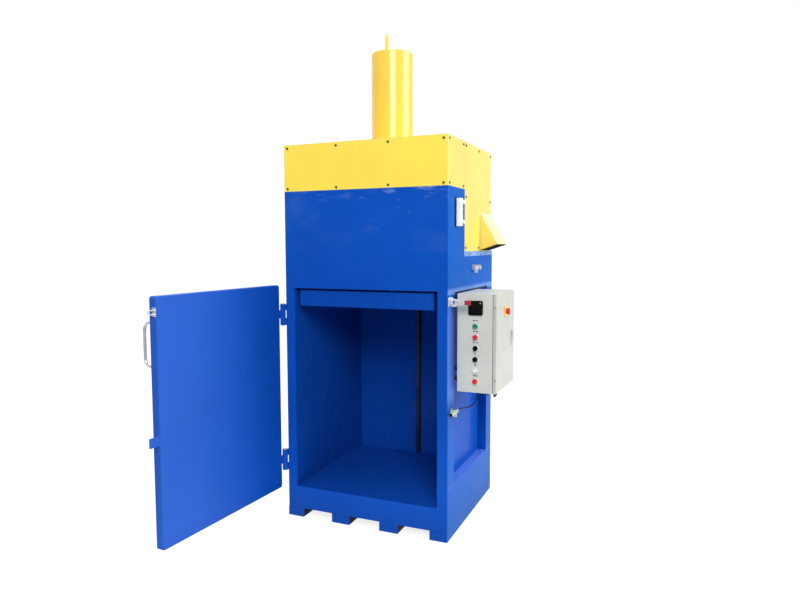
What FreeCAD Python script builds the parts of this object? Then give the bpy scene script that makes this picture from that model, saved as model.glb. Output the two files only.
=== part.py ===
"""Vertical hydraulic drum press, in millimetres, +Z up.

The origin is on the floor at the middle of the skid's footprint.  -Y is the loading side and +X is the
side with the control box.  The chamber door is drawn closed and then swung open to its rest position.
"""
import FreeCAD
import Part
import math
import os

V = FreeCAD.Vector
X, Y, Z = V(1, 0, 0), V(0, 1, 0), V(0, 0, 1)

# ---------------------------------------------------------------- driving dimensions
# body
body_width = 860.0
body_depth = 780.0
runner_height = 45.0
outer_runner_width = 88.0
inner_runner_width = 97.0
runner_wall = 5.0
sill_height = 158.0          # chamber floor
chamber_height = 1019.0      # floor to chamber ceiling
post_width = 51.0            # thickness of the chamber's side walls
column_depth = 92.0
side_ledge_height = 92.0     # ledge under the side recess, above the chamber floor
frame_plate = 8.0            # front frame and back panel
deck_plate = 10.0
web_plate = 6.0
column_wall = 5.0
side_plate = 5.0
crosshead_drop = 17.0        # crosshead sides reach below the chamber ceiling
crosshead_height = 181.0
crosshead_floor = 20.0
crosshead_roof = 12.0
crosshead_rib = 12.0
rib_spacing = 208.0
rail_width = 20.0
rail_depth = 24.0
corner_radius = 6.0

# oil tank and covers
tank_depth = 245.0
tank_height = 299.0
tank_wall = 4.0
cover_sheet = 2.0
upper_cover_height = 228.0
cover_rear_inset = 35.0      # rear cover ahead of the back panel's rear face
cover_seam = 2.0
frame_tube = 20.0
screw_head_radius = 5.5
screw_head_height = 3.0
screw_radius = 2.6
screw_edge = 17.0

# ventilation hood
hood_length = 196.0
hood_rise = 163.0
hood_reach = 93.0
hood_rear_gap = 12.0
hood_foot_gap = 35.0         # outer tip of the hood above the crosshead
hood_root_gap = 4.0          # its lower edge at the wall above the crosshead
vent_slots = 7
vent_slot_height = 9.0

# cylinder
cylinder_y = -14.0
bore_radius = 62.5
barrel_radius = 74.0
barrel_length = 1138.0
barrel_head = 20.0
gland_depth = 63.0
rod_radius = 35.0
piston_length = 50.0
piston_headroom = 10.0
running_gap = 0.05
flange_radius = 100.0
flange_height = 25.0
flange_bolts = 8
flange_bolt_circle = 88.0
flange_bolt_radius = 8.0
press_stroke = 780.0
guard_radius = 107.0
guard_headroom = 35.0        # guard's top above the barrel
guard_sheet = 2.0
guard_foot = 18.0

# platen
platen_side_gap = 23.0
platen_height = 81.0
platen_front_gap = 15.0
platen_rear_gap = 14.0
platen_plate = 15.0
platen_wall = 8.0
platen_park = 9.0            # gap to the chamber ceiling when parked
shoe_gap = 2.0
rod_socket_radius = 58.0
rod_socket_height = 45.0

# power pack
motor_radius = 92.0
motor_length = 215.0
motor_setback = 110.0        # shaft ahead of the rear cover
motor_side_gap = 30.0
motor_shaft_height = 118.0
motor_foot_width = 160.0
motor_foot_length = 100.0
motor_foot_height = 12.0
cowl_length = 50.0
fin_depth = 9.0
fin_count = 20
terminal_width = 90.0
terminal_rise = 38.0
bell_length = 80.0
bell_radius = 70.0
pump_length = 110.0
pump_width = 90.0
pump_height = 96.0
valve_inset = 200.0          # valve stand from the body's left side
valve_y = 200.0
valve_stand_height = 80.0
valve_stand_wall = 8.0
valve_width = 120.0
valve_depth = 90.0
valve_height = 70.0
spool_width = 70.0
spool_height = 50.0
coil_radius = 21.0
coil_reach = 105.0
relief_radius = 11.0
relief_reach = 40.0
suction_radius = 11.0
pressure_radius = 8.0
press_line_radius = 6.0
press_line_drop = 240.0      # where the press line turns away, below the roof
pipe_bend = 20.0
pipe_step = 60.0             # straight run at a port
suction_x = 150.0
port_rise = 60.0             # oil ports above the crosshead
lower_port_reach = 16.0
upper_port_reach = 24.0
filler_radius = 32.0
filler_height = 56.0

# door
door_left = 10.0             # door edge inboard of the body's left side
door_right = 35.0            # door edge inboard of the body's right side
door_bottom_lap = 6.0
door_top_lap = 15.0
door_thickness = 36.0
door_gap = 3.0
door_sheet = 5.0
door_lip = 24.0
door_angle = 93.7            # how far the door stands open at rest
stiffener_height = 70.0
stiffener_count = 3
hinge_out = 16.0             # hinge axis outboard of the body's side
knuckle_radius = 14.0
pin_radius = 7.0
pin_gap = 0.05
lower_knuckle = 35.0
middle_knuckle = 41.0
upper_knuckle = 30.0
knuckle_gap = 0.5
lower_hinge_rise = 80.0      # above the chamber floor
upper_hinge_drop = 189.0     # below the chamber ceiling
leaf_plate = 8.0
leaf_length = 60.0
handle_drop = 92.0           # handle's upper foot below the chamber ceiling
handle_length = 180.0
handle_reach = 44.0
handle_bend = 36.0
handle_radius = 6.5

# latch and catch
latch_drop = 48.0            # latch below the chamber ceiling
catch_reach = 30.0
catch_wire = 2.5
catch_pitch = 17.0
catch_inset = 8.0            # staple behind the door's inner face
catch_lip = 4.0              # the staple's tip is bent forward by this much
catch_lip_length = 9.0
target_reach = 49.0          # sensor target beyond the door's edge
latch_back = 18.0            # pivot behind the front plate's face
latch_out = 13.0             # pivot outboard of the body's side
latch_arm = 14.0             # pivot to link pin
latch_rise = 100.0           # degrees between the lever and its link pin
latch_lever_length = 61.0
latch_plate = 3.0
latch_pin = 3.0
link_pin = 2.0
loop_wire = 2.2
loop_arm = 14.3              # loop legs above and below the latch's middle
loop_bend = 27.0             # the loop's end is bent inboard by this much
loop_clearance = 0.3         # loop in front of the staple when latched
loop_tilt = 45.0             # degrees the loose loop hangs away from the latched place
grip_length = 28.0

# control box
box_gap = 20.0
box_width = 167.0
box_length = 354.0
box_height = 459.0
box_front = 81.0             # behind the front plate's face
box_rise = 5.0               # box's top above the side recess
box_sheet = 2.0
box_door_thickness = 15.5
box_door_gap = 2.5
box_hinge_inset = 5.0        # hinge pin inside the door's front corner
box_hinge_pin = 2.4
button_pitch = 51.4
button_inset = 87.0          # from the box's inner side
lowest_button = 54.0         # above the box's bottom
button_hole = 11.0
bezel_radius = 14.5
bezel_height = 5.0
cap_radius = 11.5
cap_height = 9.0
cap_travel = 4.0
stem_radius = 7.95
switch_plate_size = 68.0
switch_rise = 394.0          # above the box's bottom
isolator_size = 50.0
isolator_back = 170.0        # behind the box's front
isolator_rise = 368.0
lock_inset = 53.0            # from the box's rear
lock_rise = 216.0
entry_back = 419.0           # cable entries behind the box's front
entry_pitch = 35.0
gland_reach = 24.0

# level gauge and drain valve
gauge_height = 130.0
gauge_width = 30.0
gauge_depth = 28.0
gauge_bolt_pitch = 92.0
gauge_level = 184.0          # gauge centre above the tank's floor
gauge_back = 122.0           # behind the front plate's face
drain_back = 398.0
drain_drop = 82.0            # below the crosshead's top

# door sensor
sensor_radius = 9.0
sensor_length = 90.0
sensor_level = 610.0
sensor_out = 16.0
sensor_setback = 2.0
sensor_tail = 14.0
lead_radius = 3.2
power_radius = 4.5
cable_bend = 50.0
cable_drop = 52.0            # power cables below their glands
cable_stand_off = 30.0       # power cables behind the box

# ---------------------------------------------------------------- derived places
half_width = body_width / 2
front = -body_depth / 2
rear = body_depth / 2
inner = half_width - post_width
plate_back = front + frame_plate
panel_front = rear - frame_plate
floor_z = sill_height
ceiling_z = sill_height + chamber_height
recess_top = ceiling_z - crosshead_drop
crosshead_top = ceiling_z + crosshead_height
tank_top = crosshead_top + tank_height
cover_top_z = tank_top + upper_cover_height
tank_rear = plate_back + tank_depth
step_y = tank_rear + cover_seam
cover_rear_y = rear - cover_rear_inset
hinge_x = -half_width - hinge_out
hinge_y = front - door_gap
guard_height = ceiling_z + crosshead_floor + barrel_length + guard_headroom - cover_top_z
knuckle_heights = (lower_knuckle, middle_knuckle, upper_knuckle)
hinge_levels = (floor_z + lower_hinge_rise, ceiling_z - upper_hinge_drop)
handle_high = ceiling_z - handle_drop
handle_low = handle_high - handle_length
latch_level = ceiling_z - latch_drop
box_bottom = recess_top + box_rise - box_height
port_reaches = (lower_port_reach, upper_port_reach)


def box(x0, x1, y0, y1, z0, z1):
    """A block between two corners."""
    return Part.makeBox(x1 - x0, y1 - y0, z1 - z0, V(x0, y0, z0))


def rod(start, end, radius):
    """A round bar from one point to another."""
    return Part.makeCylinder(radius, (end - start).Length, start, end - start)


def ring(start, end, outer, bore):
    """A round tube from one point to another."""
    return rod(start, end, outer).cut(rod(start, end, bore))


def prism(points, direction):
    """A straight-sided outline pushed along a direction."""
    return Part.Face(Part.makePolygon(points + [points[0]])).extrude(direction)


def hexagon(centre, axis, across, height):
    """A hexagonal head or nut standing on a point."""
    radius = across / math.sqrt(3)
    flat = Part.makePolygon([V(radius * math.cos(a), radius * math.sin(a), 0)
                             for a in [math.radians(60 * k) for k in range(7)]])
    solid = Part.Face(flat).extrude(V(0, 0, height))
    solid.Placement = FreeCAD.Placement(centre, FreeCAD.Rotation(Z, axis))
    return solid


def fuse(shapes):
    """One welded piece."""
    return shapes[0].multiFuse(shapes[1:]).removeSplitter() if len(shapes) > 1 else shapes[0]


def group(shapes):
    """Separate pieces kept in one node."""
    return Part.makeCompound(shapes)


def mirror_x(shape):
    """The same piece on the other side of the machine."""
    return shape.mirror(V(0, 0, 0), X)


def round_edges(shape, radius, pick):
    """Round the edges that a test picks."""
    edges = [e for e in shape.Edges if pick(e)]
    return shape.makeFillet(radius, edges) if edges else shape


def upright(edge):
    """True for a straight edge along Z."""
    a, b = edge.Vertexes[0].Point, edge.Vertexes[-1].Point
    return abs(a.x - b.x) < 1e-6 and abs(a.y - b.y) < 1e-6 and abs(a.z - b.z) > 1e-6


def swing(shape):
    """Turn a piece of the closed door about the hinge to where the door stands open."""
    turned = shape.copy()
    turned.rotate(V(hinge_x, hinge_y, 0), Z, -door_angle)
    return turned


NODES = {}


def node(name, shape):
    """Keep a finished piece under its name."""
    NODES[name] = shape


# ---------------------------------------------------------------- skid and base
def runner_spans():
    """The left and right edges of the four runners, with equal tunnels between them."""
    tunnel = (body_width - 2 * outer_runner_width - 2 * inner_runner_width) / 3
    left = -half_width
    spans = []
    for width in (outer_runner_width, inner_runner_width, inner_runner_width, outer_runner_width):
        spans.append((left, left + width))
        left += width + tunnel
    return spans


def skid_runners():
    """Four runners with closed flat feet and end plates, closed above by the floor."""
    runners = []
    for left, right in runner_spans():
        shell = box(left, right, front, rear, 0, runner_height)
        hollow = box(left + runner_wall, right - runner_wall, front + runner_wall, rear - runner_wall,
                     runner_wall, runner_height)
        runners.append(shell.cut(hollow))
    return group(runners)


def base_frame():
    """Hollow floor with webs over the runners, and the ledges under the side recesses."""
    body = box(-half_width, half_width, plate_back, panel_front, runner_height, floor_z)
    webs = [(left + right) / 2 for left, right in runner_spans()]
    edges = [-half_width] + webs + [half_width]
    for a, b in zip(edges[:-1], edges[1:]):
        body = body.cut(box(a + web_plate, b - web_plate, plate_back, panel_front,
                            runner_height + web_plate, floor_z - deck_plate))
    ledge = box(inner + side_plate, half_width, plate_back + column_depth, panel_front - column_depth,
                floor_z, floor_z + side_ledge_height)
    ledge = ledge.cut(box(inner + side_plate + column_wall, half_width - column_wall,
                          plate_back + column_depth, panel_front - column_depth,
                          floor_z, floor_z + side_ledge_height - column_wall))
    return fuse([body, ledge, mirror_x(ledge)])


def front_frame():
    """One plate from the runners to the covers, with the door opening."""
    plate = box(-half_width, half_width, front, plate_back, runner_height, tank_top)
    plate = round_edges(plate, corner_radius, lambda e: upright(e) and abs(e.Vertexes[0].Point.y - front) < 1e-6)
    return plate.cut(box(-inner, inner, front, plate_back, floor_z, ceiling_z))


def columns():
    """Four box-section columns; the rear pair runs up beside the crosshead."""
    columns_made = []
    for y0, top in ((plate_back, recess_top), (panel_front - column_depth, crosshead_top)):
        outer = box(inner, half_width, y0, y0 + column_depth, floor_z, top)
        hollow = box(inner + column_wall, half_width - column_wall, y0 + column_wall,
                     y0 + column_depth - column_wall, floor_z, top)
        tube = outer.cut(hollow)
        columns_made += [tube, mirror_x(tube)]
    return group(columns_made)


def side_panels():
    """Inner chamber walls between the columns."""
    panel = box(inner, inner + side_plate, plate_back + column_depth, panel_front - column_depth,
                floor_z, recess_top)
    return group([panel, mirror_x(panel)])


def back_panel():
    """Back wall from the runners to the top of the crosshead."""
    return box(-half_width, half_width, panel_front, rear, runner_height, crosshead_top)


def guide_rail():
    """Flat bar on the back wall that steers the platen."""
    return box(-rail_width / 2, rail_width / 2, panel_front - rail_depth, panel_front,
               floor_z, ceiling_z)


def crosshead():
    """Welded beam over the chamber with a well for the cylinder flange."""
    middle = box(-inner, inner, plate_back, panel_front, ceiling_z, crosshead_top)
    side = box(inner, half_width, plate_back, panel_front - column_depth, recess_top, crosshead_top)
    beam = fuse([middle, side, mirror_x(side)])
    well = rib_spacing / 2
    low = ceiling_z + crosshead_floor
    high = crosshead_top - crosshead_roof
    cells = [(-well, well), (well + crosshead_rib, inner), (-inner, -well - crosshead_rib)]
    for a, b in cells:
        beam = beam.cut(box(a, b, plate_back, panel_front, low, high))
    for sign in (1, -1):
        a, b = sorted((sign * inner, sign * (half_width - frame_plate)))
        beam = beam.cut(box(a, b, plate_back, panel_front - column_depth, low, high))
    centre = V(0, cylinder_y, ceiling_z)
    beam = beam.cut(rod(centre, centre + Z * crosshead_floor, barrel_radius - 4 + running_gap))
    beam = beam.cut(rod(V(0, cylinder_y, high), V(0, cylinder_y, crosshead_top), well - 1))
    for k in range(flange_bolts):
        spot = bolt_spot(k, ceiling_z)
        beam = beam.cut(rod(spot, spot + Z * crosshead_floor, flange_bolt_radius + 0.5))
    return beam


def bolt_spot(index, level):
    """Centre of one flange bolt."""
    angle = 2 * math.pi * (index + 0.5) / flange_bolts
    return V(flange_bolt_circle * math.cos(angle), cylinder_y + flange_bolt_circle * math.sin(angle), level)


# ---------------------------------------------------------------- tank and covers
def oil_tank():
    """Sheet tank across the front of the machine, with a filler neck."""
    shell = box(-half_width, half_width, plate_back, tank_rear, crosshead_top, tank_top)
    shell = shell.cut(box(-half_width + tank_wall, half_width - tank_wall, plate_back + tank_wall,
                          tank_rear - tank_wall, crosshead_top + tank_wall, tank_top - tank_wall))
    neck = filler_centre()
    shell = shell.cut(rod(neck - Z * tank_wall, neck, 22))
    suction = suction_port()
    return shell.cut(rod(suction, suction + Y * tank_wall, 14))


def filler_centre():
    """Where the filler sits on the tank's roof."""
    return V(-half_width * 0.6, (plate_back + tank_rear) / 2, tank_top)


def suction_port():
    """Where the suction pipe leaves the tank's rear wall."""
    return V(suction_x, tank_rear - tank_wall, crosshead_top + port_rise)


def filler_breather():
    """Filler neck with a knurled breather cap."""
    neck = filler_centre()
    stem = rod(neck - Z * 40, neck, 21.7)
    flange = rod(neck, neck + Z * 6, filler_radius + 4)
    cap = rod(neck + Z * 6, neck + Z * filler_height, filler_radius)
    for k in range(16):
        angle = 2 * math.pi * k / 16
        groove = neck + V((filler_radius + 1) * math.cos(angle), (filler_radius + 1) * math.sin(angle), 10)
        cap = cap.cut(rod(groove, neck + V(groove.x - neck.x, groove.y - neck.y, filler_height), 2.5))
    return fuse([stem, flange, cap])


def cover_frame():
    """Square-tube frame inside the covers, on the tank and on the crosshead."""
    t = frame_tube
    xo = half_width - cover_sheet
    yf = front + cover_sheet
    yr = cover_rear_y - cover_sheet
    top = cover_top_z - cover_sheet
    bars = []
    for x0, x1 in ((xo - t, xo), (-xo, -xo + t)):
        bars.append(box(x0, x1, yf, yf + t, tank_top, top))
        bars.append(box(x0, x1, step_y, step_y + t, crosshead_top, top))
        bars.append(box(x0, x1, yr - t, yr, crosshead_top, top))
        bars.append(box(x0, x1, yf, yr, top - t, top))
        bars.append(box(x0, x1, step_y, yr, crosshead_top, crosshead_top + t))
        bars.append(box(x0, x1, yf, step_y, tank_top, tank_top + t))
    for y0, z0 in ((yf, tank_top), (yf, top - t), (yr - t, crosshead_top), (yr - t, top - t)):
        bars.append(box(-xo, xo, y0, y0 + t, z0, z0 + t))
    return round_edges(fuse(bars), corner_radius, lambda e: upright(e)
                       and abs(abs(e.Vertexes[0].Point.x) - xo) < 1e-6
                       and abs(e.Vertexes[0].Point.y - yf) < 1e-6)


def cover_front():
    """U-shaped front cover: one folded sheet with two side returns."""
    outer = box(-half_width, half_width, front, tank_rear, tank_top, cover_top_z - cover_sheet)
    outer = round_edges(outer, corner_radius, lambda e: upright(e) and abs(e.Vertexes[0].Point.y - front) < 1e-6)
    hollow = box(-half_width + cover_sheet, half_width - cover_sheet, front + cover_sheet, tank_rear,
                 tank_top, cover_top_z)
    hollow = round_edges(hollow, corner_radius - cover_sheet,
                         lambda e: upright(e) and abs(e.Vertexes[0].Point.y - front - cover_sheet) < 1e-6)
    return drill_screws(outer.cut(hollow), front_cover_screws())


def side_cover():
    """Stepped side sheet of the rear compartment, on the +X side, with the vent slots."""
    sheet = box(half_width - cover_sheet, half_width, step_y, cover_rear_y, crosshead_top,
                cover_top_z - cover_sheet)
    return sheet


def hood_span():
    """Front, rear, foot and head of the ventilation hood."""
    rear_y = cover_rear_y - hood_rear_gap
    foot = crosshead_top + hood_foot_gap
    return rear_y - hood_length, rear_y, foot, foot + hood_rise


def cover_right():
    """Right side sheet with vent slots behind the hood."""
    y0, y1, foot, head = hood_span()
    sheet = side_cover()
    pitch = (hood_rise - 30) / vent_slots
    for k in range(vent_slots):
        z = foot + 10 + pitch * (k + 0.5)
        sheet = sheet.cut(box(half_width - cover_sheet, half_width, y0 + 18, y1 - 18,
                              z - vent_slot_height / 2, z + vent_slot_height / 2))
    return drill_screws(sheet, side_cover_screws(1))


def cover_left():
    """Left side sheet."""
    return drill_screws(mirror_x(side_cover()), side_cover_screws(-1))


def cover_rear():
    """Rear sheet of the compartment."""
    sheet = box(-half_width + cover_sheet, half_width - cover_sheet, cover_rear_y - cover_sheet,
                cover_rear_y, crosshead_top, cover_top_z - cover_sheet)
    return drill_screws(sheet, rear_cover_screws())


def cover_top():
    """Flat roof sheet with the hole that the barrel passes."""
    roof = box(-half_width, half_width, front, cover_rear_y, cover_top_z - cover_sheet, cover_top_z)
    roof = round_edges(roof, corner_radius, lambda e: upright(e) and abs(e.Vertexes[0].Point.y - front) < 1e-6)
    hole = V(0, cylinder_y, cover_top_z - cover_sheet)
    return roof.cut(rod(hole, hole + Z * cover_sheet, guard_radius - guard_sheet))


def front_cover_screws():
    """Screw places and directions on the front cover."""
    places = []
    rows = (tank_top + screw_edge - 4, cover_top_z - screw_edge)
    for z in rows:
        for x in (-3, -1, 1, 3):
            places.append((V(x * (half_width - 22) / 3, front, z), -Y))
        for sign in (1, -1):
            places.append((V(sign * half_width, front + screw_edge, z), X * sign))
            places.append((V(sign * half_width, tank_rear - screw_edge - 6, z), X * sign))
    return places


def side_cover_screws(sign):
    """Screw places and directions on one side cover."""
    ys = (step_y + screw_edge, (step_y + cover_rear_y) / 2, cover_rear_y - screw_edge)
    low, high = crosshead_top + screw_edge, cover_top_z - screw_edge
    places = [(V(sign * half_width, y, z), X * sign) for z in (low, high) for y in ys]
    for y in (ys[0], ys[2]):
        places.append((V(sign * half_width, y, (low + high) / 2), X * sign))
    return [place for place in places if not under_hood(place[0])]


def under_hood(spot):
    """True for a place on the right wall that the hood covers."""
    y0, y1, foot, head = hood_span()
    return spot.x > 0 and y0 - screw_edge < spot.y < y1 + screw_edge and spot.z < head


def rear_cover_screws():
    """Screw places and directions on the rear cover."""
    zs = (crosshead_top + screw_edge, (crosshead_top + cover_top_z) / 2, cover_top_z - screw_edge)
    xs = (-half_width + screw_edge, 0, half_width - screw_edge)
    return [(V(x, cover_rear_y, z), Y) for z in zs for x in xs if x != 0 or z != zs[1]]


def drill_screws(sheet, places):
    """Holes for the cover screws."""
    for spot, out in places:
        sheet = sheet.cut(rod(spot - out * cover_sheet * 2, spot + out, screw_radius + 0.3))
    return sheet


def cover_screws():
    """Pan-head screws that hold the covers, with their hexagon sockets."""
    screws = []
    for spot, out in front_cover_screws() + side_cover_screws(1) + side_cover_screws(-1) + rear_cover_screws():
        head = rod(spot, spot + out * screw_head_height, screw_head_radius)
        head = head.cut(hexagon(spot + out * (screw_head_height - 1.6), out, 4, 2))
        screws.append(head.fuse(rod(spot - out * cover_sheet, spot, screw_radius)))
    return group(screws)


def vent_hood():
    """Sheet awning over the vent slots, open below, its cheeks cut back towards the wall."""
    y0, y1, foot, head = hood_span()
    wall = half_width
    t = cover_sheet
    root = crosshead_top + hood_root_gap
    profile = [V(wall, y0, root), V(wall + hood_reach, y0, foot), V(wall, y0, head)]
    outer = prism(profile, Y * (y1 - y0))
    slope = math.hypot(hood_reach, hood_rise)
    dz, dx = t * slope / hood_reach, t * slope / hood_rise
    drop = 5
    inside = [V(wall, y0 + t, root - drop),
              V(wall + hood_reach - dx + drop * hood_reach / hood_rise, y0 + t, foot - drop),
              V(wall, y0 + t, head - dz)]
    outer = outer.cut(prism(inside, Y * (y1 - y0 - 2 * t)))
    flange = box(wall, wall + t, y0 - 14, y0, foot, head - 10)
    return fuse([outer, flange])


def cylinder_guard():
    """Closed tube over the upper end of the cylinder, with a foot ring on the roof."""
    foot = V(0, cylinder_y, cover_top_z)
    tube = rod(foot, foot + Z * guard_height, guard_radius)
    tube = round_edges(tube, 3, lambda e: e.Vertexes[0].Point.z > cover_top_z + guard_height - 1e-3
                       and not upright(e))
    tube = tube.cut(rod(foot, foot + Z * (guard_height - guard_sheet), guard_radius - guard_sheet))
    base = ring(foot, foot + Z * guard_sheet, guard_radius + guard_foot, guard_radius - guard_sheet)
    return fuse([tube, base])


def top_breather():
    """Breather stub with its nut on top of the guard."""
    foot = V(-8, cylinder_y - 46, cover_top_z + guard_height)
    nut = hexagon(foot, Z, 22, 26)
    collar = rod(foot + Z * 26, foot + Z * 33, 11)
    stem = rod(foot + Z * 33, foot + Z * 88, 8.5)
    return fuse([nut, collar, stem])


# ---------------------------------------------------------------- cylinder and platen
def barrel_foot():
    """Bottom of the cylinder flange."""
    return ceiling_z + crosshead_floor


def on_axis(level):
    """A point on the cylinder's axis."""
    return V(0, cylinder_y, level)


def cylinder_barrel():
    """Barrel, flange, gland and port blocks, bored for the piston and the rod."""
    seat = barrel_foot()
    top = seat + barrel_length
    body = fuse([rod(on_axis(seat), on_axis(top), barrel_radius),
                 rod(on_axis(seat), on_axis(seat + flange_height), flange_radius),
                 rod(on_axis(ceiling_z), on_axis(seat), barrel_radius - 4)])
    for z, proud in zip(port_levels(), port_reaches):
        body = body.fuse(box(-16, 16, cylinder_y + barrel_radius - 12, cylinder_y + barrel_radius + proud,
                             z - 18, z + 18))
    body = body.cut(rod(on_axis(ceiling_z + gland_depth), on_axis(top - barrel_head), bore_radius))
    body = body.cut(rod(on_axis(ceiling_z), on_axis(seat + gland_depth), rod_radius + running_gap))
    lower, upper = port_levels()
    body = body.cut(rod(V(0, cylinder_y + bore_radius - 2, lower), lower_port(), 6))
    turn = upper_port() + Z * 18
    body = body.cut(rod(V(0, cylinder_y + bore_radius - 2, upper), turn, 4))
    body = body.cut(rod(turn, upper_port(), 4))
    for k in range(flange_bolts):
        spot = bolt_spot(k, seat)
        body = body.cut(rod(spot, spot + Z * flange_height, flange_bolt_radius + 0.5))
    return body


def lower_port():
    """Rear face of the lower port block."""
    return V(0, cylinder_y + barrel_radius + port_reaches[0], port_levels()[0])


def upper_port():
    """Under face of the upper port block, in line with the pipe down the barrel."""
    return V(0, cylinder_y + barrel_radius + port_reaches[1] - 9, port_levels()[1] - 18)


def port_levels():
    """Heights of the two oil ports."""
    return (crosshead_top + port_rise, barrel_foot() + barrel_length - barrel_head - 18)


def cylinder_bolts():
    """Bolts up through the crosshead floor, with nuts on the flange."""
    bolts = []
    for k in range(flange_bolts):
        spot = bolt_spot(k, ceiling_z)
        top = spot + Z * (crosshead_floor + flange_height)
        bolts.append(fuse([rod(spot - Z * 6, spot, 11.5), rod(spot, top + Z * 16, flange_bolt_radius),
                           hexagon(top, Z, 22, 12)]))
    return group(bolts)


def platen_top():
    """Top of the parked platen."""
    return ceiling_z - platen_park


def platen():
    """Welded pressing plate: sole, walls, ribs, rod socket and a notch that runs on the rail."""
    top = platen_top()
    low = top - platen_height
    x1 = inner - platen_side_gap
    y0, y1 = front + platen_front_gap, panel_front - platen_rear_gap
    body = box(-x1, x1, y0, y1, low, top)
    body = round_edges(body, 5, lambda e: abs(e.Vertexes[0].Point.y - y0) < 1e-6
                       and abs(e.Vertexes[-1].Point.y - y0) < 1e-6)
    xs = [-x1, -x1 / 3, x1 / 3, x1]
    ys = [y0, cylinder_y, y1]
    for a, b in zip(xs[:-1], xs[1:]):
        for c, d in zip(ys[:-1], ys[1:]):
            body = body.cut(box(a + platen_wall, b - platen_wall, c + platen_wall, d - platen_wall,
                                low + platen_plate, top))
    centre = V(0, cylinder_y, low + platen_plate)
    socket = ring(centre, centre + Z * rod_socket_height, rod_socket_radius, rod_radius)
    body = body.cut(rod(centre, centre + Z * platen_height, rod_radius)).fuse(socket)
    notch = rail_width / 2 + shoe_gap
    shoe = box(-notch - 20, notch + 20, y1 - rail_depth - 20, y1, low + platen_plate, top)
    body = body.fuse(shoe)
    return body.cut(box(-notch, notch, panel_front - rail_depth - shoe_gap, y1, low, top)).removeSplitter()


def piston_rod():
    """Rod from the platen's sole to the piston."""
    foot = platen_top() - platen_height + platen_plate
    crown = barrel_foot() + barrel_length - barrel_head - piston_headroom
    shaft = rod(on_axis(foot), on_axis(crown - piston_length), rod_radius)
    piston = rod(on_axis(crown - piston_length), on_axis(crown), bore_radius - running_gap)
    groove = ring(on_axis(crown - piston_length / 2 - 6), on_axis(crown - piston_length / 2 + 6),
                  bore_radius, bore_radius - 4)
    return fuse([shaft, piston.cut(groove)])


# ---------------------------------------------------------------- power pack
def motor_centre():
    """Drive end of the motor."""
    return V(half_width - cover_sheet - motor_side_gap - motor_length, cover_rear_y - motor_setback,
             crosshead_top + motor_shaft_height)


def motor():
    """Finned motor with fan cover, feet and terminal box, lying along X."""
    start = motor_centre()
    core = motor_length - cowl_length
    body = rod(start, start + X * core, motor_radius - fin_depth)
    fins = []
    for k in range(fin_count):
        fin = box(start.x + 12, start.x + core, -2, 2, motor_radius - fin_depth - 5, motor_radius)
        fin.rotate(V(0, 0, 0), X, 360.0 * k / fin_count)
        fin.translate(V(0, start.y, start.z))
        fins.append(fin)
    cowl = rod(start + X * core, start + X * motor_length, motor_radius)
    side, deck = motor_foot_width / 2, crosshead_top + motor_foot_height
    x0, x1 = start.x + 20, start.x + 20 + motor_foot_length
    feet = box(x0, x1, start.y - side, start.y + side, crosshead_top, deck)
    web = box(x0 + 10, x1 - 10, start.y - side + 25, start.y + side - 25, deck, start.z - motor_radius * 0.65)
    half = terminal_width / 2
    terminal = box(start.x + 30, start.x + 30 + terminal_width, start.y - half, start.y + half,
                   start.z + motor_radius * 0.65, start.z + motor_radius + terminal_rise)
    return fuse([body, cowl, feet, web, terminal] + fins)


def pump_unit():
    """Bell housing and gear pump on the motor's drive end."""
    start = motor_centre()
    bell = rod(start - X * bell_length, start, bell_radius)
    x = start.x - bell_length
    pump = box(x - pump_length, x, start.y - pump_width / 2, start.y + pump_width / 2,
               start.z - pump_height / 2, start.z + pump_height / 2)
    return fuse([bell, pump])


def valve_centre():
    """Foot of the valve block's stand."""
    return V(-half_width + valve_inset, valve_y, crosshead_top)


def valve_port_level():
    """Height of the ports in the valve block's faces."""
    return crosshead_top + valve_stand_height + valve_height / 2


def valve_block():
    """Valve block on a stand, with two solenoids and a relief screw."""
    foot = valve_centre()
    w, d = valve_width / 2, valve_depth / 2
    low = foot.z + valve_stand_height
    high = low + valve_height
    t = valve_stand_wall
    stand = box(foot.x - w + 10, foot.x + w - 10, foot.y - d + 5, foot.y + d - 5, foot.z, low)
    stand = stand.cut(box(foot.x - w + 10 + t, foot.x + w - 10 - t, foot.y - d + 5, foot.y + d - 5,
                          foot.z + t, low - t))
    block = box(foot.x - w, foot.x + w, foot.y - d, foot.y + d, low, high)
    half = spool_width / 2
    spool = box(foot.x - half, foot.x + half, foot.y - d / 2, foot.y + d / 2, high, high + spool_height)
    middle = V(foot.x, foot.y, high + spool_height / 2)
    coils = [rod(middle + X * s * half, middle + X * s * coil_reach, coil_radius) for s in (1, -1)]
    face = V(foot.x, foot.y - d, valve_port_level())
    relief = rod(face, face - Y * relief_reach, relief_radius)
    return fuse([stand, block, spool, relief] + coils)


def pipe(points, radius, bend):
    """A steel pipe along straight runs with tangent bends."""
    edges = []
    start = points[0]
    for before, corner, after in zip(points[:-2], points[1:-1], points[2:]):
        into = (corner - before).normalize()
        out = (after - corner).normalize()
        turn = into.getAngle(out)
        reach = bend * math.tan(turn / 2)
        a, b = corner - into * reach, corner + out * reach
        middle = (b - a).normalize()
        bulge = corner + (out - into).normalize() * (bend / math.cos(turn / 2) - bend)
        edges.append(Part.LineSegment(start, a).toShape())
        edges.append(Part.Arc(a, bulge, b).toShape())
        start = b
    edges.append(Part.LineSegment(start, points[-1]).toShape())
    path = Part.Wire(edges)
    profile = Part.Wire([Part.Circle(points[0], points[1] - points[0], radius).toShape()])
    return path.makePipeShell([profile], True, False)


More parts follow.
